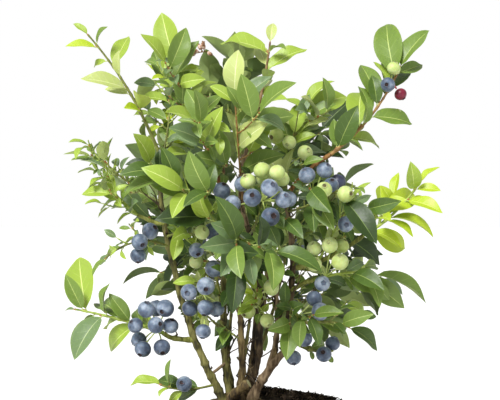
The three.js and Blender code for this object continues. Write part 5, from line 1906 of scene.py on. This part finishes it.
# %% Berry stalks
def stalk_run(berry, random):
    """A thin rod from the shoot to the berry's foot, bent a little under its load."""
    end = berry.centre - berry.axis * berry.radius * HANG.seat
    curve = Bow(berry.foot, end, (spread(random, HANG.bend), spread(random, HANG.bend), 1.0))
    shares = np.linspace(0, 1, 8)
    return curve.through(shares), HANG.thin + HANG.swell * shares**3, 1 if berry.kind in "RD" else 0


stalk_finishes = [petiole_skin, make_green_wood("crimson stalk skin", "#8E2A3A", "#B4505A")]
stalks = round_rods("berry_stalks", [stalk_run(berry, random) for berry in berries], 6, stalk_finishes)
finish_piece(stalks, "green_wood")

# %% [markdown]
# ## Buds and withered flowers
# In the corner over a leaf's foot sits a small pointed bud, brown at its tip, from which next year's shoot
# will grow. At the top a few flowers have withered on a twig without setting fruit: crumpled urns of dry
# pink skin with a flared mouth. Both are shaped from a ball whose rings are moved.

# %% Model a bud and a flower
def model_rings(segments, profile, tip_from):
    """A ball whose rings are moved onto a profile of (radius, height) in millimetres, from foot to tip."""
    sphere = bpy.ops.mesh.primitive_uv_sphere_add
    piece = fresh(sphere, segments=segments, ring_count=len(profile) - 1, radius=MM)
    points = vertices_of(piece)
    reach = np.hypot(points[:, 0], points[:, 1])
    level = np.round(np.arccos(np.clip(-points[:, 2], -1, 1)) / math.pi * (len(profile) - 1)).astype(int)
    radius, height = np.array(profile)[level].T
    size = np.divide(radius, reach, out=np.zeros_like(reach), where=reach > TINY)
    move_vertices(piece, np.column_stack([points[:, 0] * size, points[:, 1] * size, height]))
    numbers = piece.data.attributes.new("finish", "INT", "FACE")
    for face in piece.data.polygons:
        numbers.data[face.index].value = int(face.center.z > tip_from * MM)
    return piece


BUD_PROFILE = [(0, 0), (0.75, 0.15), (1.0, 0.9), (0.8, 1.9), (0.4, 2.7), (0, 3.2)]
URN_PROFILE = [
    (0, 0), (1.2, 0.1), (2.3, 1.0), (2.7, 2.6), (2.5, 4.6), (1.8, 6.2), (1.5, 6.9), (2.1, 7.5), (1.2, 6.6),
    (0.6, 5.6), (0, 5.4),
]
bud = take_template(model_rings(8, BUD_PROFILE, 1.5))
urn = model_rings(10, URN_PROFILE, 5)
only(urn)
roughen(urn, "crumples", 2.2, 2.6)
urn = take_template(urn)
print("bud", len(bud.faces), "faces, flower", len(urn.faces), "faces")


# %% Set them on the shoots
def bud_place(leaf, random):
    """A bud in the corner between a leaf and its shoot."""
    curve = leaf.shoot.curve
    share = min(norm(leaf.root - curve.start) / curve.length, 1)
    axis = unit(leaf.along + BUD.lean * curve.along(share))
    size = BUD.least + BUD.more * random()
    return (bud.points * size) @ turn_onto(axis, random) + leaf.root + axis * BUD.out


def make_husk(name, dark, light, roughness):
    """A dry plant skin, blotched, with fine wrinkles."""
    return two_tone(name, (dark, light), 2, 0.8, 0.15, Roughness=roughness)


BUD = Facts(lean=1.3, least=0.75, more=0.5, out=0.5)
random = make_random(SEED.buds)
bud_skins = [make_husk("bud scales, brown foot", "#7A5A2C", "#A4803F", 0.55),
             make_husk("bud scales, tip", "#80481E", "#B87A3C", 0.5)]
bud_places = [bud_place(leaf, random) for leaf in leaves if leaf.grade is COARSE]
buds = joined_copies("buds", bud, np.array(bud_places), bud_skins)
finish_piece(buds, "green_wood")

WITHERED = Facts(
    start=(-71, -11, 515), tip=(-42, 2, 528), bow=(0, 2, 3), thick=0.8, thin=0.45, flowers=8, first=0.65,
    apart=0.05, rise=0.3, stalk=2, more_stalk=2.5, stalk_radii=(0.5, 0.45, 0.5), least=0.62, more=0.3,
)
flower_twig = Bow(WITHERED.start, WITHERED.tip, WITHERED.bow)
shares = np.linspace(0, 1, 12)
runs = [(flower_twig.through(shares), WITHERED.thick + (WITHERED.thin - WITHERED.thick) * shares, 0)]
flowers = []
for number in range(WITHERED.flowers):
    foot = flower_twig.at(WITHERED.first + WITHERED.apart * number)
    way = unit(jolt(random, 1) * [1, 1, 0.8] + UP * WITHERED.rise)
    mouth = foot + way * (WITHERED.stalk + WITHERED.more_stalk * random())
    runs.append((np.array([foot, (foot + mouth) / 2 + UP * 0.4, mouth]), WITHERED.stalk_radii, 0))
    size = WITHERED.least + WITHERED.more * random()
    flowers.append((urn.points * size) @ turn_onto(way, random) + mouth)
urn_skins = [make_husk("withered petal skin", "#B9806E", "#E6D2C2", 0.8),
             make_husk("withered petal mouth", "#7A5038", "#B08A68", 0.85)]
withered = joined_copies("withered_flowers", urn, np.array(flowers), urn_skins)
finish_piece(withered, "berries")
flower_stalks = round_rods("flower_stalks", runs, 6, [SHOOT_SKIN["red"]])
finish_piece(flower_stalks, "green_wood")

# %% [markdown]
# ## The studio
# The bush stands on a pale floor in even white light, with a large soft lamp high on the left. The camera
# looks level at the crown with a long lens, so that near and far leaves keep their true sizes.

# %% Camera, floor and light
CAMERA = Facts(height=387, away=1500, across=475, sensor=36)
LAMP = Facts(turn=(48, 0, -30), strength=3.85, spread=20, room=0.54)


def place_camera():
    """A level camera whose frame is so many millimetres across at the middle of the bush."""
    lens = bpy.data.cameras.new("camera")
    lens.sensor_width = CAMERA.sensor
    lens.lens = CAMERA.sensor * CAMERA.away / CAMERA.across
    lens.clip_end = 50
    camera = bpy.data.objects.new("camera", lens)
    camera.location = (0, -CAMERA.away * MM, CAMERA.height * MM)
    camera.rotation_euler = (math.radians(90), 0, 0)
    bpy.context.collection.objects.link(camera)
    bpy.context.scene.camera = camera


def place_floor():
    """A wide pale floor."""
    floor = fresh(bpy.ops.mesh.primitive_plane_add, size=40)
    floor.name = "floor"
    finish, shader = new_finish("pale floor paint", Roughness=0.9)
    paint(finish, shader, shade_by(finish, grain(finish, 400), (0.3, "#F6F6F5"), (0.7, "#FAFAF9")))
    floor.data.materials.append(finish)


def place_lamp():
    """A distant soft lamp."""
    light = bpy.data.lights.new("key lamp", "SUN")
    light.energy = LAMP.strength
    light.angle = math.radians(LAMP.spread)
    lamp = bpy.data.objects.new("key lamp", light)
    lamp.rotation_euler = [math.radians(degrees) for degrees in LAMP.turn]
    bpy.context.collection.objects.link(lamp)


def light_room(brightness):
    """White walls all round: they light the bush softly and show as white."""
    world = bpy.data.worlds.new("white room")
    world.use_nodes = True
    lit, seen = [
        add_node(world, "ShaderNodeBackground", {"Color": (1, 1, 1, 1), "Strength": strength}).outputs[0]
        for strength in (brightness, 1.0)
    ]
    path = add_node(world, "ShaderNodeLightPath")
    mix = add_node(world, "ShaderNodeMixShader", {"Fac": path.outputs["Is Camera Ray"], 1: lit, 2: seen})
    tree = world.node_tree
    tree.links.new(mix.outputs[0], tree.nodes["World Output"].inputs["Surface"])
    bpy.context.scene.world = world


place_camera()
place_floor()
place_lamp()
light_room(LAMP.room)
bpy.context.scene.view_settings.view_transform = "Standard"
